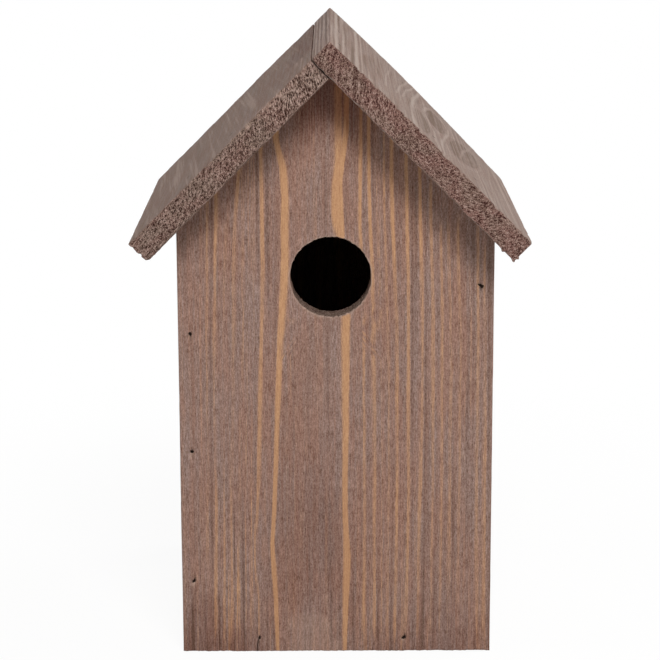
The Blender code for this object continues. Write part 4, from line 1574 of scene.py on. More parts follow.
FRONT_LINES = tuple(
    GrowthLine(*line)
    for line in (
        (((6, -53.6), (100, -52.5), (180, -51.9)), 0.9, 0.21),
        (
            (
                (6, -51.1), (60, -50.5), (100, -50.1),
                (140, -49.6), (180, -48.7), (200, -47.9),
            ),
            1.4, 0.30,
        ),
        (
            (
                (6, -47.7), (60, -46.8), (100, -47.0),
                (140, -46.5), (180, -45.4), (200, -44.9),
            ),
            1.6, 0.40,
        ),
        (((6, -44.0), (60, -43.5), (100, -42.7), (140, -42.7), (180, -41.5)), 1.4, 0.26),
        (
            (
                (6, -41.3), (20, -40.7), (60, -40.6), (100, -39.7),
                (140, -39.1), (180, -37.9), (200, -35.9),
            ),
            1.8, 0.36,
        ),
        (
            (
                (6, -37.7), (60, -37.3), (100, -36.5),
                (140, -35.0), (180, -34.1), (200, -33.3),
            ),
            1.1, 0.26,
        ),
        (((6, -35.3), (60, -34.9), (100, -34.2)), 0.7, 0.34),
        (((145, -35.6), (180, -35.2), (208, -34.7)), 0.7, 0.26),
        (((150, -34.4), (208, -33.6)), 0.7, -0.40),
        (((145, -31.2), (180, -31.3), (208, -30.9)), 0.7, 0.28),
        (((160, -29.2), (210, -29.0)), 0.8, -0.45),
        (((10, -38.7), (48, -38.3)), 0.8, 0.43),
        (((8, -36.7), (60, -36.4)), 0.5, -0.28),
        (((2, -58.8), (40, -58.4)), 0.5, -0.32),
        (((2, -57.3), (18, -57.2)), 0.5, -0.40),
        (((2, -56.0), (30, -55.7)), 0.5, -0.38),
        (((2, -53.7), (45, -53.5)), 0.5, -0.56),
        (((2, -51.5), (40, -51.0)), 0.5, -0.48),
        (((2, -48.9), (24, -48.7)), 0.7, -0.35),
        (((2, -46.2), (26, -46.0)), 0.7, -0.38),
        (((2, -42.4), (38, -42.2)), 0.7, 0.36),
        (((2, -39.9), (14, -39.9)), 0.7, -0.42),
        (((30, -39.8), (62, -39.6)), 0.55, -0.52),
        (((2, 9.5), (34, 9.8)), 0.7, -0.32),
        (((2, 15.2), (40, 15.4)), 0.7, -0.36),
        (((2, 24.2), (30, 24.4)), 0.7, -0.34),
        (((2, 33.4), (36, 33.6)), 0.7, -0.36),
        (((8, -32.0), (45, -32.6), (70, -32.4)), 0.6, 0.34),
        (((4, -26.4), (40, -26.9)), 0.9, -0.34),
        (((100, -33.6), (140, -33.2), (180, -32.5), (205, -32.2)), 0.9, 0.26),
        (((6, -33.1), (60, -32.9), (120, -31.2), (160, -30.4), (200, -30.0)), 0.9, 0.21),
        (
            (
                (6, -29.7), (22, -30.0), (37, -31.3), (49, -31.2), (60, -30.2),
                (75, -29.5), (120, -28.1), (160, -26.9), (205, -27.3),
            ),
            1.9,
            0.54,
            ((0, 0.42), (20, 0.55), (50, 0.70), (80, 0.95), (100, 1.0)),
        ),
        (
            (
                (0, -22.2), (9, -22.5), (28, -23.2), (45, -24.1), (60, -23.3),
                (86, -22.2), (107, -21.4), (136, -19.9), (160, -18.3), (174, -18.2),
                (190, -17.9), (201, -18.6), (213, -21.2),
            ),
            3.0,
            0.95,
            (
                (0, 0.46), (15, 0.58), (36, 0.72), (50, 0.60), (72, 0.64),
                (101, 0.76), (130, 0.95), (160, 1.1), (195, 1.05), (212, 0.8),
            ),
        ),
        (((108, -16.4), (120, -16.2), (148, -15.3)), 1.1, 0.32),
        (((50, -14.8), (80, -14.6), (107, -14.2)), 0.9, 0.30),
        (((82, -10.3), (118, -10.3)), 1.0, 0.28),
        (((187, -4.0), (197, -3.9)), 0.6, 0.32),
        (
            (
                (0, 5.4), (6, 5.4), (40, 6.3), (60, 5.5), (86, 5.8),
                (141, 6.1), (160, 4.4), (176, 4.0), (188, 3.4), (196, 3.4),
                (208, 5.2), (216, 6.3), (232, 6.5),
            ),
            3.2,
            1.00,
            (
                (0, 0.62), (15, 0.70), (30, 0.90), (40, 0.98), (52, 0.76),
                (85, 0.78), (110, 0.92), (137, 1.12), (190, 1.05), (212, 0.70),
            ),
        ),
        (((176, 2.2), (184, 1.6), (194, 1.8), (203, 3.2)), 3.1, 0.58),
        (((166, 12.4), (180, 11.6), (200, 11.8), (212, 12.0)), 1.7, 0.49),
        (((6, 13.0), (60, 13.3), (120, 13.3), (142, 13.6)), 1.5, 0.48),
        (
            (
                (6, 17.5), (60, 17.6), (100, 17.5), (140, 16.9),
                (160, 16.6), (180, 15.7), (205, 15.1),
            ),
            1.6, 0.53,
        ),
        (((6, 20.4), (60, 20.7), (140, 19.7), (180, 18.6), (200, 18.0)), 0.8, 0.28),
        (((6, 22.8), (80, 23.3), (140, 22.7), (180, 21.5), (200, 21.1)), 1.0, 0.35),
        (((6, 26.0), (60, 26.6), (140, 26.4), (180, 24.6), (200, 24.0)), 1.7, 0.53),
        (((6, 30.0), (60, 31.4), (140, 31.1), (180, 30.4), (200, 29.9)), 1.7, 0.48),
        (((6, 35.4), (60, 35.9), (100, 36.6), (140, 36.6), (180, 35.6), (200, 35.2)), 1.7, 0.45),
        (((6, 40.6), (60, 41.2), (140, 41.0), (180, 39.7), (195, 39.5)), 1.6, 0.43),
        (((6, 44.2), (80, 44.9), (140, 44.6), (180, 43.5)), 1.3, 0.37),
        (((6, 47.9), (80, 48.3), (120, 48.3), (180, 46.7)), 1.5, 0.36),
        (((6, 51.4), (80, 52.1), (140, 51.6), (180, 50.4)), 1.4, 0.32),
        (((6, 53.9), (120, 54.0)), 0.9, 0.25),
        (((95, 56.3), (140, 56.0), (165, 55.3)), 1.1, 0.28),
        (((6, 59.4), (60, 59.0), (140, 59.0), (180, 58.0)), 1.7, 0.40),
        (((6, 62.3), (80, 62.2), (140, 61.6), (170, 61.0)), 1.7, 0.40),
    )
)


ROOF_LINES = tuple(
    GrowthLine(*line)
    for line in (
        (((0, -5.5), (250, -5.3)), 0.6, 0.85),
        (((0, -4.9), (250, -4.8)), 0.6, -0.80),
        (((0, -4.3), (250, -4.4)), 0.6, 0.94),
        (((0, -3.7), (250, -3.8)), 0.6, -0.90),
        (((0, -3.2), (250, -3.1)), 0.5, 0.80),
        (((0, -2.6), (250, -2.5)), 0.6, -0.70),
        (((0, -1.9), (250, -2.0)), 0.7, 0.94),
        (((0, -1.2), (250, -1.3)), 0.6, -0.90),
        (((0, -0.6), (250, -0.7)), 0.5, 0.90),
        (((0, 2.2), (250, 2.4)), 1.0, -0.50),
        (((0, 5.6), (250, 5.4)), 1.2, -0.55),
        (((0, 12.6), (250, 13.2)), 1.2, -0.50),
        (((0, 3.7), (80, 4.0), (250, 3.6)), 1.7, 0.88),
        (((0, 7.4), (60, 7.7), (250, 7.2)), 1.2, 0.62),
        (((0, 10.0), (100, 10.4), (250, 10.0)), 0.9, 0.38),
        (((0, 14.5), (60, 14.9), (120, 15.4), (250, 15.9)), 1.7, 0.88),
        (((0, 17.6), (90, 18.2), (250, 18.6)), 1.0, 0.44),
        (((10, 21.2), (90, 22.0), (250, 23.5)), 1.0, 0.38),
        (((0, 25.5), (70, 26.4), (250, 30.0)), 1.2, 0.35),
        (((40, 31.0), (90, 33.0), (130, 36.5), (250, 41.0)), 1.2, 0.47),
        (((55, 37.8), (100, 41.5), (140, 46.5), (250, 56.0)), 1.3, 0.65),
        (((60, 41.0), (110, 45.6), (140, 50.0), (250, 62.0)), 1.1, 0.60),
        (((8, 45.6), (60, 46.6), (100, 49.4), (140, 54.0), (250, 66.0)), 1.9, 0.72),
        (((14, 58.0), (50, 59.2), (75, 56.6), (95, 55.6), (118, 58.0), (142, 63.0)), 1.6, 0.58),
        (((14, 61.5), (45, 63.6), (75, 67.4), (100, 71.0), (122, 72.2), (142, 68.0)), 1.6, 0.62),
        (((48, 74.0), (90, 79.0), (130, 86.0), (250, 104.0)), 1.3, 0.43),
        (((8, 91.0), (80, 95.0), (250, 108.0)), 1.2, 0.28),
    )
)
ROOF_OVALS = (
    DarkOval((63.5, 102.0), (6.8, 33.0), 0.06, 0.66),
    DarkOval((51.8, 42.0), (4.6, 36.0), 0.02, 0.50),
    DarkOval((79.0, 84.0), (8.6, 44.0), 0.16, 0.54),
    DarkOval((23.0, 60.0), (4.5, 48.0), 0.03, 0.24),
)


@dataclass
class Walls:
    """The front, back and left boards, the door on the right, and the floor.

    The pocket is the outline of the hollow that lies behind the hanging plate's keyhole.
    """

    pocket: Outline
    peak: float = 0.237727
    door_peak: float = 0.237019
    door_gap: float = 0.001
    entrance_height: float = 0.1575
    entrance_radius: float = 0.016
    nail_inset: float = 0.00492
    nail_heights: tuple[float, ...] = (0.03073, 0.08565, 0.13457)
    floor_nails: tuple[float, ...] = (-0.02973, 0.02973)
    sill_nails: tuple[float, ...] = (-0.01475, 0.03245)
    floor_nail_height: float = 0.006
    mark_sizes: tuple[float, ...] = (0.00064, 0.00064, 0.00066, 0.00052, 0.00068, 0.00086)
    pivot: Pair = (0.05975, 0.15377)
    hook_height: float = 0.022
    drain_corner: float = 0.010
    entrance_window: Pair = (0.0212, 0.0232)
    pocket_middle: Pair = (0.0, 0.186)
    pocket_window: Pair = (0.0105, 0.0172)
    pocket_depth: float = 0.006
    hook_radius: float = 0.00155
    hook_hole: float = 0.004
    hook_window: Pair = (0.0032, 0.0032)

    def gable(self, x: np.ndarray, _: np.ndarray) -> np.ndarray:
        """The sloping edges of the front and back boards."""
        return self.peak - np.abs(x)

    def nail_marks(self, low: Vector) -> list[Pair]:
        """Where the front and back boards are nailed."""
        down_the_edge = [(low.x + self.nail_inset, height) for height in self.nail_heights]
        at_the_foot = [(x, self.floor_nail_height) for x in self.floor_nails]
        return [*down_the_edge, *at_the_foot, self.pivot]

    def front(self) -> Board:
        """The front board with the entrance."""
        low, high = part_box("front_board")
        depth = high.y - low.y
        middle = (0.0, self.entrance_height)
        rim = RaggedRim(self.entrance_radius, 0.0012, 0.6, fuzz=0.00012)
        window = self.entrance_window
        entrance = Hole(Side.WEATHER, middle, rim, depth, window, rings=8, through=True)
        marks = self.nail_marks(low)
        heights = (*self.nail_heights, self.floor_nail_height, self.pivot[1])
        return FrontBoard(
            "front_board",
            "front_wood",
            FRONT_STAIN,
            Lay((0, low.y, 0), (1, 0, 0), (0, 1, 0), (0, 0, 1)),
            (low.x, high.x),
            depth,
            square(0.0),
            self.gable,
            Ruling(0.00045, 0.0012, 0.0030, heights),
            seed=3,
            holes=(entrance, *map(nail_hole, marks, range(len(marks)), self.mark_sizes)),
            figure=GrowthLines(
                FRONT_LINES,
                pith=(-0.007, -0.045),
                strong_top=0.50,
                strong_foot=0.55,
                foot_hairs=0.75,
            ),
        )

    def back(self) -> Board:
        """The back board, with the pocket behind the hanging plate and the hook's hole."""
        low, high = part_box("back_board")
        depth = high.y - low.y
        marks = self.nail_marks(low)
        pocket = Hole(
            Side.WEATHER, self.pocket_middle, self.pocket, self.pocket_depth, self.pocket_window
        )
        at, rim = (depth / 2, self.hook_height), RaggedRim(self.hook_radius, 0.03)
        hook = Hole(Side.HIGH_EDGE, at, rim, self.hook_hole, self.hook_window, rings=4)
        heights = (*self.nail_heights, self.floor_nail_height, self.hook_height, self.pivot[1])
        return Board(
            "back_board",
            "wall_wood",
            WALL_STAIN,
            Lay((0, high.y, 0), (1, 0, 0), (0, -1, 0), (0, 0, 1)),
            (low.x, high.x),
            depth,
            square(0.0),
            self.gable,
            Ruling(0.0005, 0.0006, 0.003, heights),
            seed=5,
            holes=(pocket, hook, *(nail_hole(mark, number) for number, mark in enumerate(marks))),
            figure=GrowthRings((0.012, -0.034), 0.0042, (0.03, 0.05)),
        )

    def left(self) -> Board:
        """The left wall, nailed to the floor."""
        low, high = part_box("left_side")
        top = self.peak + low.x
        marks = [(y, self.floor_nail_height) for y in self.sill_nails]
        return Board(
            "left_side",
            "wall_wood",
            WALL_STAIN,
            Lay((low.x, 0, 0), (0, 1, 0), (1, 0, 0), (0, 0, 1)),
            (low.y, high.y),
            high.x - low.x,
            square(0.0),
            lambda u, v: top + v,
            Ruling(0.0005, 0.0009, 0.003, (self.floor_nail_height,)),
            seed=7,
            holes=tuple(nail_hole(mark, number + 6) for number, mark in enumerate(marks)),
            figure=GrowthRings((-0.030, 0.060), 0.0045, (0.02, 0.04)),
        )

    def door(self) -> Board:
        """The right wall, which swings open."""
        low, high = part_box("side_door")
        top = self.door_peak - high.x
        return Board(
            "side_door",
            "wall_wood",
            WALL_STAIN,
            Lay((high.x, 0, 0), (0, 1, 0), (-1, 0, 0), (0, 0, 1)),
            (low.y, high.y),
            high.x - low.x,
            square(self.door_gap),
            lambda u, v: top + v,
            Ruling(0.0005, 0.0009, 0.003),
            seed=9,
            body="door",
            figure=GrowthRings((0.022, -0.030), 0.0040, (-0.04, 0.06)),
        )

    def floor(self) -> Board:
        """The floor between the walls, with its corners cut off."""
        low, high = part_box("floor_board")

        def cut(u: np.ndarray) -> np.ndarray:
            """How far the cut corners take an end back."""
            inset = np.minimum(u - low.y, high.y - u)
            return np.maximum(self.drain_corner - inset, 0)

        return Board(
            "floor_board",
            "floor_wood",
            FLOOR_STAIN,
            Lay((0, 0, high.z), (0, 1, 0), (0, 0, -1), (1, 0, 0)),
            (low.y, high.y),
            high.z - low.z,
            lambda u, v: low.x + cut(u),
            lambda u, v: high.x - cut(u),
            Ruling(0.0006, 0.0009, 0.0022),
            seed=15,
            figure=GrowthRings((0.010, 0.050), 0.0042, (0.03, 0.05)),
        )

    def build(self) -> None:
        """Builds the boards."""
        for board in (self.front(), self.back(), self.left(), self.door(), self.floor()):
            board.build()


@dataclass
class Roof:
    """The two roof boards. The right one covers the left one's end."""

    ridge: float = 0.253
    length: float = 0.1105
    thickness: float = 0.0105
    seam: float = 0.00005
    ridge_nail_depths: tuple[float, ...] = (0.0243, 0.081, 0.1377)
    right_nails: tuple[Pair, ...] = (
        *((0.0575, 0.026), (0.081, 0.026)),
        *((0.0148, 0.156), (0.0707, 0.156)),
    )
    left_nails: tuple[Pair, ...] = (
        *((0.0553, 0.026), (0.0795, 0.026)),
        *((0.053, 0.156), (0.0818, 0.156)),
    )

    def right(self) -> RoofBoard:
        """The right board, splintered at its front corner."""
        ridge_marks = [(self.thickness / 2, depth) for depth in self.ridge_nail_depths]
        return self.board(
            "right",
            0.0,
            (*self.right_nails, *ridge_marks),
            finish=ROOF_RIGHT_STAIN,
            seed=11,
            figure=GrowthLines(
                ROOF_LINES, (0.060, -0.030), ROOF_OVALS, pale_hairs=0.62, dark_hairs=0.52
            ),
            tear=0.00024,
            tufts=((0.0006, 0.0006), (0.0056, 0.0012)),
            crown=0.00105,
        )

    def left(self) -> RoofBoard:
        """The left board, with a scalloped eave. It butts against the right one."""
        return self.board(
            "left",
            self.thickness + self.seam,
            self.left_nails,
            finish=ROOF_LEFT_SHADED_STAIN,
            seed=13,
            figure=GrowthRings(
                (0.125, -0.070), 0.0021, (0.10, 0.0), late=0.20, dark=0.30, thin=0.75
            ),
            tear=0.00036,
            notch=0.0008,
            crown=0.0005,
            butts=True,
        )

    def board(
        self, side: str, start: float, marks: Sequence[Pair], seed: int, **own
    ) -> RoofBoard:
        """One of the roof boards.

        Args:
            side: Left or right.
            start: Where the board starts below the ridge.
            marks: The nails' places below the ridge and behind the front.
            seed: The board's seed.
            own: Other fields of its own.

        Returns:
            The board.
        """
        out, down = math.sqrt(0.5) * (1 if side == "right" else -1), -math.sqrt(0.5)
        low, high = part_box("roof_board_" + side)
        heights = tuple(sorted({depth for _, depth in marks}))
        return RoofBoard(
            "roof_board_" + side,
            "roof_wood",
            lay=Lay((0, low.y, self.ridge), (out, 0, down), (-out, 0, down), (0, 1, 0)),
            width=(start, self.length),
            thickness=self.thickness,
            low=square(0.0),
            high=square(high.y - low.y),
            ruling=Ruling(0.00034, 0.00034, 0.0038, heights),
            seed=seed,
            holes=tuple(nail_hole(mark, number) for number, mark in enumerate(marks, seed)),
            rounding=0.00032,
            chips=0.0008,
            **own,
        )

    def build(self) -> None:
        """Builds the roof boards."""
        self.right().build()
        self.left().build()


# Metal


def turned(sides: int) -> tuple[np.ndarray, np.ndarray]:
    """Angles round a circle, and its points with a radius of 1."""
    angle = np.linspace(0, 2 * math.pi, sides, endpoint=False)
    return angle, np.stack([np.cos(angle), np.sin(angle)], axis=1)


def loft(name: str, rings: np.ndarray) -> bpy.types.Mesh:
    """A closed mesh through rings of points.

    Args:
        name: The mesh's name.
        rings: The rings' points: rings, then points, then coordinates. Each ring runs
            anticlockwise when it is seen from the side of the next.

    Returns:
        The mesh, closed at both ends.
    """
    count, sides, _ = rings.shape
    ends = rings[[0, -1]].mean(axis=1)
    points = np.concatenate([rings.reshape(-1, 3), ends])
    index = np.arange(count * sides).reshape(count, sides)
    after = np.roll(index, -1, axis=1)
    quads = np.stack([index[:-1], after[:-1], after[1:], index[1:]], axis=-1).reshape(-1, 4)
    first, last = count * sides, count * sides + 1
    start = np.stack([after[0], index[0], np.full(sides, first)], axis=1)
    stop = np.stack([index[-1], after[-1], np.full(sides, last)], axis=1)
    return join_mesh(name, points, [quads, start, stop])


@dataclass(frozen=True)
class Driven:
    """Where a fastener was driven in: the middle of its head and the way it went."""

    node: str
    way: Vector

    def placed(self, rings: np.ndarray) -> np.ndarray:
        """Rings of a fastener that points along +Z from its head, put in their place."""
        verts = np.array([vert.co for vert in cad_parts[self.node].data.vertices])
        way = np.array(self.way.normalized())
        reach = verts @ way
        centre = (verts - reach[:, None] * way).mean(axis=0) + way * reach.min()
        turn = np.array(Vector((0, 0, 1)).rotation_difference(self.way).to_matrix())
        return centre + rings @ turn.T


@dataclass(frozen=True)
class Nail:
    """A round nail with grip rings below its head and a cut point."""

    length: float
    head: float
    shank: float
    head_height: float
    tip: float
    grips: int = 5
    grip_pitch: float = 0.0006
    sides: int = 16

    def rings(self) -> np.ndarray:
        """The nail's rings from head to point."""
        head, shank, height = self.head, self.shank, self.head_height
        profile = [(0.00004, 0.5 * head), (0.0, 0.8 * head), (0.00005, 0.95 * head)]
        profile += [(0.00014, head), (height - 0.0001, head), (height, 0.93 * head)]
        profile += [(height, 1.05 * shank)]
        for number in range(self.grips):
            at = height + self.grip_pitch * (number + 1)
            profile += [(at, shank), (at + 0.0002, 1.1 * shank), (at + 0.0003, shank)]
        profile += [(self.length - self.tip, shank), (self.length, 0.05 * shank)]
        _, circle = turned(self.sides)
        point = circle / np.maximum(np.abs(circle).max(axis=1), 0.75)[:, None]
        rings = []
        for at, radius in profile:
            outline = point if at > self.length - self.tip else circle
            rings.append(np.column_stack([outline * radius, np.full(self.sides, at)]))
        return np.array(rings)


@dataclass(frozen=True)
class Screw:
    """A countersunk screw with a cross recess and a thread."""

    length: float = 0.011
    head: float = 0.0028
    shank: float = 0.0014
    rim: float = 0.0002
    taper: float = 0.0014
    pitch: float = 0.0011
    recess: float = 0.0011
    slot_width: float = 0.00042
    slot_reach: float = 0.0016
    slot_soft: float = 0.00018
    thread_step: float = 0.00018
    point: float = 0.002
    sides: int = 64

    def rings(self) -> np.ndarray:
        """The screw's rings from the middle of its head to its point."""
        angle, circle = turned(self.sides)
        rings = []
        for radius in np.linspace(0.00012, self.head - 0.00012, 18):
            x, y = np.abs(circle * radius).T
            arms = [
                fade(self.slot_width, self.slot_width + self.slot_soft, side)
                * fade(self.slot_reach - 0.0002, self.slot_reach + 0.0001, along)
                for side, along in ((x, y), (y, x))
            ]
            deep = self.recess * np.maximum(*arms) * (1.15 - radius / self.slot_reach * 0.4)
            rings.append(np.column_stack([circle * radius, deep + 0.00004]))
        below = self.rim + self.taper
        for at, radius in ((0.0, self.head), (self.rim, self.head), (below, self.shank)):
            rings.append(np.column_stack([circle * radius, np.full(self.sides, at + 0.00006)]))
        for at in np.arange(below + 0.0002, self.length, self.thread_step):
            turn = (at / self.pitch - angle / (2 * math.pi)) % 1.0
            ridge = np.clip(1 - np.abs(turn - 0.5) / 0.22, 0, 1)
            left = np.clip((self.length - at) / self.point, 0.03, 1)
            radius = self.shank * left * (0.72 + 0.28 * ridge)
            rings.append(np.column_stack([circle * radius[:, None], np.full(self.sides, at)]))
        return np.array(rings)


@dataclass
class Nailing:
    """The nails that hold the boards, and the two that the door swings on."""

    brad: Nail = Nail(0.030, 0.0008, 0.00055, 0.0005, 0.0015)
    pivot: Nail = Nail(0.035, 0.0012, 0.0008, 0.0006, 0.002)

    def ways(self) -> dict[str, tuple[Nail, Vector]]:
        """Each nail's node with its kind and the way that it was driven."""
        back, front = Vector((0, 1, 0)), Vector((0, -1, 0))
        left_down, right_down = Vector((-1, 0, -1)), Vector((1, 0, -1))
        ways = {}
        for end, way in (("front", back), ("back", front)):
            ways |= {f"brad_{end}_wall_{n}": (self.brad, way) for n in (1, 2, 3)}
            ways |= {f"brad_{end}_floor_{n}": (self.brad, way) for n in (1, 2)}
            ways |= {f"brad_roof_right_{end}_{n}": (self.brad, left_down) for n in (1, 2)}
            ways |= {f"brad_roof_left_{end}_{n}": (self.brad, right_down) for n in (1, 2)}
            ways[f"pivot_nail_{end}"] = (self.pivot, way)
        ways |= {f"brad_left_floor_{n}": (self.brad, Vector((1, 0, 0))) for n in (1, 2)}
        ways |= {f"brad_ridge_{n}": (self.brad, left_down) for n in (1, 2, 3)}
        return ways

    def build(self) -> None:
        """Drives the nails."""
        for node, (nail, way) in self.ways().items():
            mesh = loft(node + "_nail", Driven(node, way).placed(nail.rings()))
            install(mesh, node, "box", NAIL_STEEL)


@dataclass(frozen=True)
class Keyhole:
    """The outline of a round hole with a narrower slot above it."""

    radius: float = 0.0045
    slot: float = 0.0022
    rise: float = 0.010

    def __call__(self, angle: np.ndarray) -> np.ndarray:
        """The outline's distance from the middle of the round hole at an angle."""
        x, z = np.abs(np.cos(angle)), np.sin(angle)
        side = self.slot / np.maximum(x, 1e-9)
        cap = self.rise * z + np.sqrt(np.maximum(self.slot**2 - (self.rise * x) ** 2, 0))
        slot = np.where(side * z <= self.rise, side, cap)
        return np.where(z > 0, np.maximum(self.radius, slot), self.radius)

    def grown(self, margin: float) -> "Keyhole":
        """The outline with a margin all round."""
        return Keyhole(self.radius + margin, self.slot + margin, self.rise)


@dataclass
class HangingPlate:
    """The zinc-plated keyhole plate and its two screws."""

    keyhole: Keyhole = Keyhole()
    screw: Screw = Screw()
    corner: float = 0.004
    keyhole_drop: float = 0.005
    keyhole_margin: float = 0.0028
    keyhole_window: Pair = (0.0065, 0.0138)
    keyhole_below: float = 0.0078
    screw_inset: float = 0.007
    screw_play: float = 0.0002
    screw_window: Pair = (0.0052, 0.0052)

    def pocket(self) -> Keyhole:
        """The outline of the hollow behind the keyhole."""
        return self.keyhole.grown(self.keyhole_margin)

    def plate(self) -> Slab:
        """The plate, with round corners and countersunk holes."""
        low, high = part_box("hanging_plate")
        middle = (low.z + high.z) / 2

        def sag(u: np.ndarray) -> np.ndarray:
            """How far the round corners take the plate's ends back."""
            over = np.clip(np.abs(u) - high.x + self.corner, 0, self.corner)
            return self.corner - np.sqrt(self.corner**2 - over**2)

        depth = high.y - low.y
        play, window = self.screw_play, self.screw_window
        sunk = RaggedRim(self.screw.head + play)
        screws = [
            Hole(Side.WEATHER, (0.0, height), sunk, depth - play, window, rings=4)
            for height in (low.z + self.screw_inset, high.z - self.screw_inset)
        ]
        keyhole = Hole(
            Side.WEATHER,
            (0.0, middle - self.keyhole_drop),
            self.keyhole,
            depth,
            self.keyhole_window,
            through=True,
            low_reach=self.keyhole_below,
        )
        return Slab(
            "hanging_plate",
            "zinc",
            ZINC,
            Lay((0, high.y, 0), (1, 0, 0), (0, -1, 0), (0, 0, 1)),
            (low.x, high.x),
            depth,
            lambda u, v: low.z + sag(u),
            lambda u, v: high.z - sag(u),
            Ruling(0.00045, 0.0004, 0.0006),
            seed=21,
            holes=(keyhole, *screws),
            rounding=0.0002,
        )

    def build(self) -> None:
        """Builds the plate and its screws."""
        self.plate().build()
        for node in ("plate_screw_top", "plate_screw_bottom"):
            rings = Driven(node, Vector((0, -1, 0))).placed(self.screw.rings())
            install(loft(node + "_turned", rings), node, "box", ZINC)


@dataclass
class TurnHook:
    """The bent wire hook that holds the door shut."""

    wire: float = 0.0013
    depth: float = 0.014
    bend: float = 0.0025
    arm: float = 0.016
    reach: float = 0.0018
    pitch: float = 0.0012
    thread: float = 0.0115
    thread_depth: float = 0.24
    point: float = 0.003
    sides: int = 28

    def path(self) -> np.ndarray:
        """Points along the wire, from its point in the wood to the arm's end."""
        inside = np.linspace(-self.depth, self.reach - self.bend, 96)[:-1]
        turn = np.linspace(math.pi / 2, 0, 14)
        arm = np.linspace(-self.bend, -self.arm, 30)[1:]
        bend = self.reach - self.bend + self.bend * np.cos(turn)
        x = np.concatenate([inside, bend, 0 * arm + self.reach])
        z = np.concatenate([0 * inside, self.bend * (np.sin(turn) - 1), arm])
        return np.stack([x, z], axis=1)

    def build(self) -> None:
        """Builds the hook."""
        low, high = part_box("turn_hook")
        path = self.path()
        middle = Vector((high.x - self.reach - self.wire, (low.y + high.y) / 2, high.z - self.wire))
        ahead = np.gradient(path, axis=0)
        ahead /= np.linalg.norm(ahead, axis=1)[:, None]
        run = np.concatenate([[0], np.cumsum(np.linalg.norm(np.diff(path, axis=0), axis=1))])
        angle, _ = turned(self.sides)
        turn = (run[:, None] / self.pitch - angle / (2 * math.pi)) % 1.0
        ridge = np.clip(1 - np.abs(turn - 0.5) / 0.25, 0, 1)
        threaded = fade(self.thread - 0.001, self.thread, run)[:, None]
        radius = self.wire * (1 - threaded * self.thread_depth * (1 - ridge))
        point = np.clip(run / self.point, 0.03, 1)
        left = np.clip((run[-1] - run) / self.wire, 0, 1)
        dome = np.sqrt(np.maximum(1 - (1 - left) ** 2, 0.01))
        radius = radius * (point * dome)[:, None]
        side = np.stack([-ahead[:, 1], ahead[:, 0]], axis=1)
        x = path[:, :1] + radius * np.sin(angle) * side[:, :1]
        z = path[:, 1:] + radius * np.sin(angle) * side[:, 1:]
        rings = np.stack([x, -radius * np.cos(angle), z], axis=-1) + np.array(middle)
        install(loft("turn_hook_wire", rings), "turn_hook", "hook", ZINC)


# Studio


@dataclass(frozen=True)
class Lamp:
    """A square soft lamp, aimed at the middle of the object."""

    name: str
    toward: Triple
    distance: float
    size: float
    level: float
    mirrored: bool = True

    def light(self, middle: Vector) -> None:
        """Hangs the lamp.

        Args:
            middle: What it is aimed at. A face there that is turned to the lamp, and
                lit by it alone, renders at level times its own colour.
        """
        data = bpy.data.lights.new(self.name, "AREA")
        data.size = self.size
        data.energy = self.level * (math.pi * self.distance) ** 2
        lamp = bpy.data.objects.new(self.name, data)
        away = Vector(self.toward).normalized()
        lamp.location = middle + away * self.distance
        lamp.rotation_euler = away.to_track_quat("Z", "Y").to_euler()
        lamp.visible_glossy = self.mirrored
        bpy.context.scene.collection.objects.link(lamp)


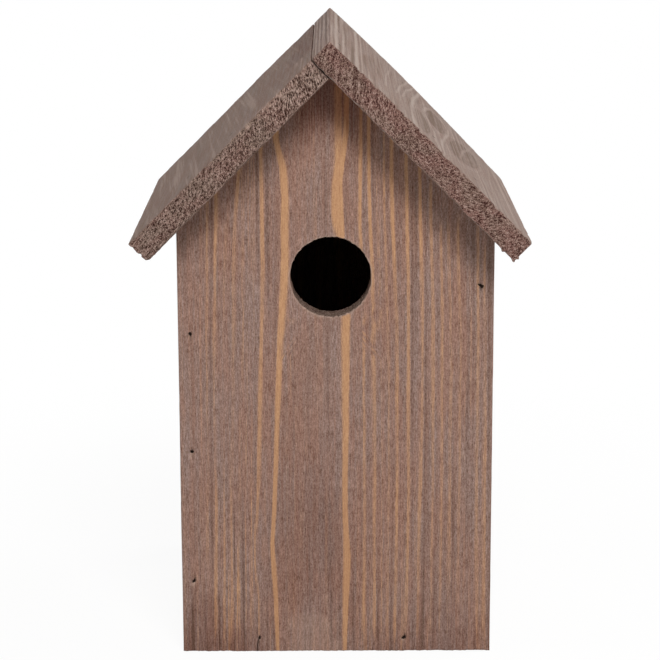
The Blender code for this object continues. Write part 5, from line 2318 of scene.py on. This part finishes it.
@dataclass
class Studio:
    """A pale floor, soft light and the camera."""

    floor_reach: float = 8.0
    floor_colour: Colour = (0.88, 0.87, 0.86)
    floor_glow: float = 0.93
    shadow_reach: Pair = (0.12, 0.45)
    ambient: float = 0.13
    lamps: tuple[Lamp, ...] = (
        Lamp("key", (0.13, -0.71, 0.68), 1.5, 0.52, 0.90),
        Lamp("right", (0.75, 0.30, 0.60), 1.5, 0.8, 0.37),
        Lamp("left", (-0.85, -0.10, 0.28), 1.5, 0.8, 0.15, mirrored=False),
        Lamp("rear", (-0.20, 0.90, 0.15), 1.5, 0.8, 0.45, mirrored=False),
    )
    camera_place: Triple = (0.0000714, -0.93455, 0.33236)
    camera_pitch: float = math.radians(-12.6867)
    camera_yaw: float = math.radians(-0.024)
    camera_roll: float = math.radians(-0.1917)
    lens: float = 122.03
    sensor: float = 36.0

    def floor(self) -> None:
        """The floor, which looks white to the camera and keeps the object's shadow."""
        reach = self.floor_reach
        mesh = bpy.data.meshes.new("floor")
        corners = [(-reach, -reach, 0), (reach, -reach, 0), (reach, reach, 0), (-reach, reach, 0)]
        mesh.from_pydata(corners, [], [(0, 1, 2, 3)])
        floor = bpy.data.objects.new("floor", mesh)
        bpy.context.scene.collection.objects.link(floor)
        material = bpy.data.materials.new("floor_paper")
        tree = bare_tree(material)
        paper = tree.add("ShaderNodeBsdfDiffuse", {"Color": self.floor_colour})
        glow = tree.add("ShaderNodeEmission", {"Color": (1.0, 1.0, 1.0), "Strength": 1.0})
        away = tree.vector("LENGTH", tree.add("ShaderNodeTexCoord").outputs["Object"])
        white = tree.span(away, *self.shadow_reach, self.floor_glow, 1.0)
        share = tree.math("MULTIPLY", tree.seen(), white)
        shaders = {0: share, 1: paper.outputs[0], 2: glow.outputs[0]}
        surface = tree.add("ShaderNodeMixShader", shaders)
        tree.add("ShaderNodeOutputMaterial", {0: surface.outputs[0]})
        mesh.materials.append(material)
        floor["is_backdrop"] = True

    def world(self) -> None:
        """Even light from all round, which looks white where it is seen."""
        world = bpy.data.worlds.new("studio")
        tree = bare_tree(world)
        strength = tree.math("MULTIPLY_ADD", tree.seen(), 1.0 - self.ambient, self.ambient)
        sky = tree.add("ShaderNodeBackground", {"Color": (1.0, 1.0, 1.0), "Strength": strength})
        tree.add("ShaderNodeOutputWorld", {0: sky.outputs[0]})
        bpy.context.scene.world = world

    def camera(self) -> None:
        """The camera at the photograph's viewing angle."""
        data = bpy.data.cameras.new("camera")
        data.lens = self.lens
        data.sensor_width = self.sensor
        camera = bpy.data.objects.new("camera", data)
        tilt = Matrix.Rotation(math.pi / 2 + self.camera_pitch, 4, "X")
        turn = Matrix.Rotation(-self.camera_yaw, 4, "Z")
        roll = Matrix.Rotation(self.camera_roll, 4, "Z")
        camera.matrix_world = Matrix.Translation(self.camera_place) @ turn @ tilt @ roll
        bpy.context.scene.collection.objects.link(camera)
        bpy.context.scene.camera = camera

    def build(self, middle: Vector) -> None:
        """Builds the studio round the middle of the object."""
        self.floor()
        self.world()
        for lamp in self.lamps:
            lamp.light(middle)
        self.camera()
        bpy.context.scene.view_settings.view_transform = "Standard"


def main() -> None:
    """Builds the pieces and the studio."""
    logging.basicConfig(level=logging.INFO, format="%(name)s %(message)s")
    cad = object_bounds()
    plate = HangingPlate()
    Walls(plate.pocket()).build()
    Roof().build()
    Nailing().build()
    plate.build()
    TurnHook().build()
    Studio().build((cad[0] + cad[1]) / 2)


if __name__ == "__main__":
    main()
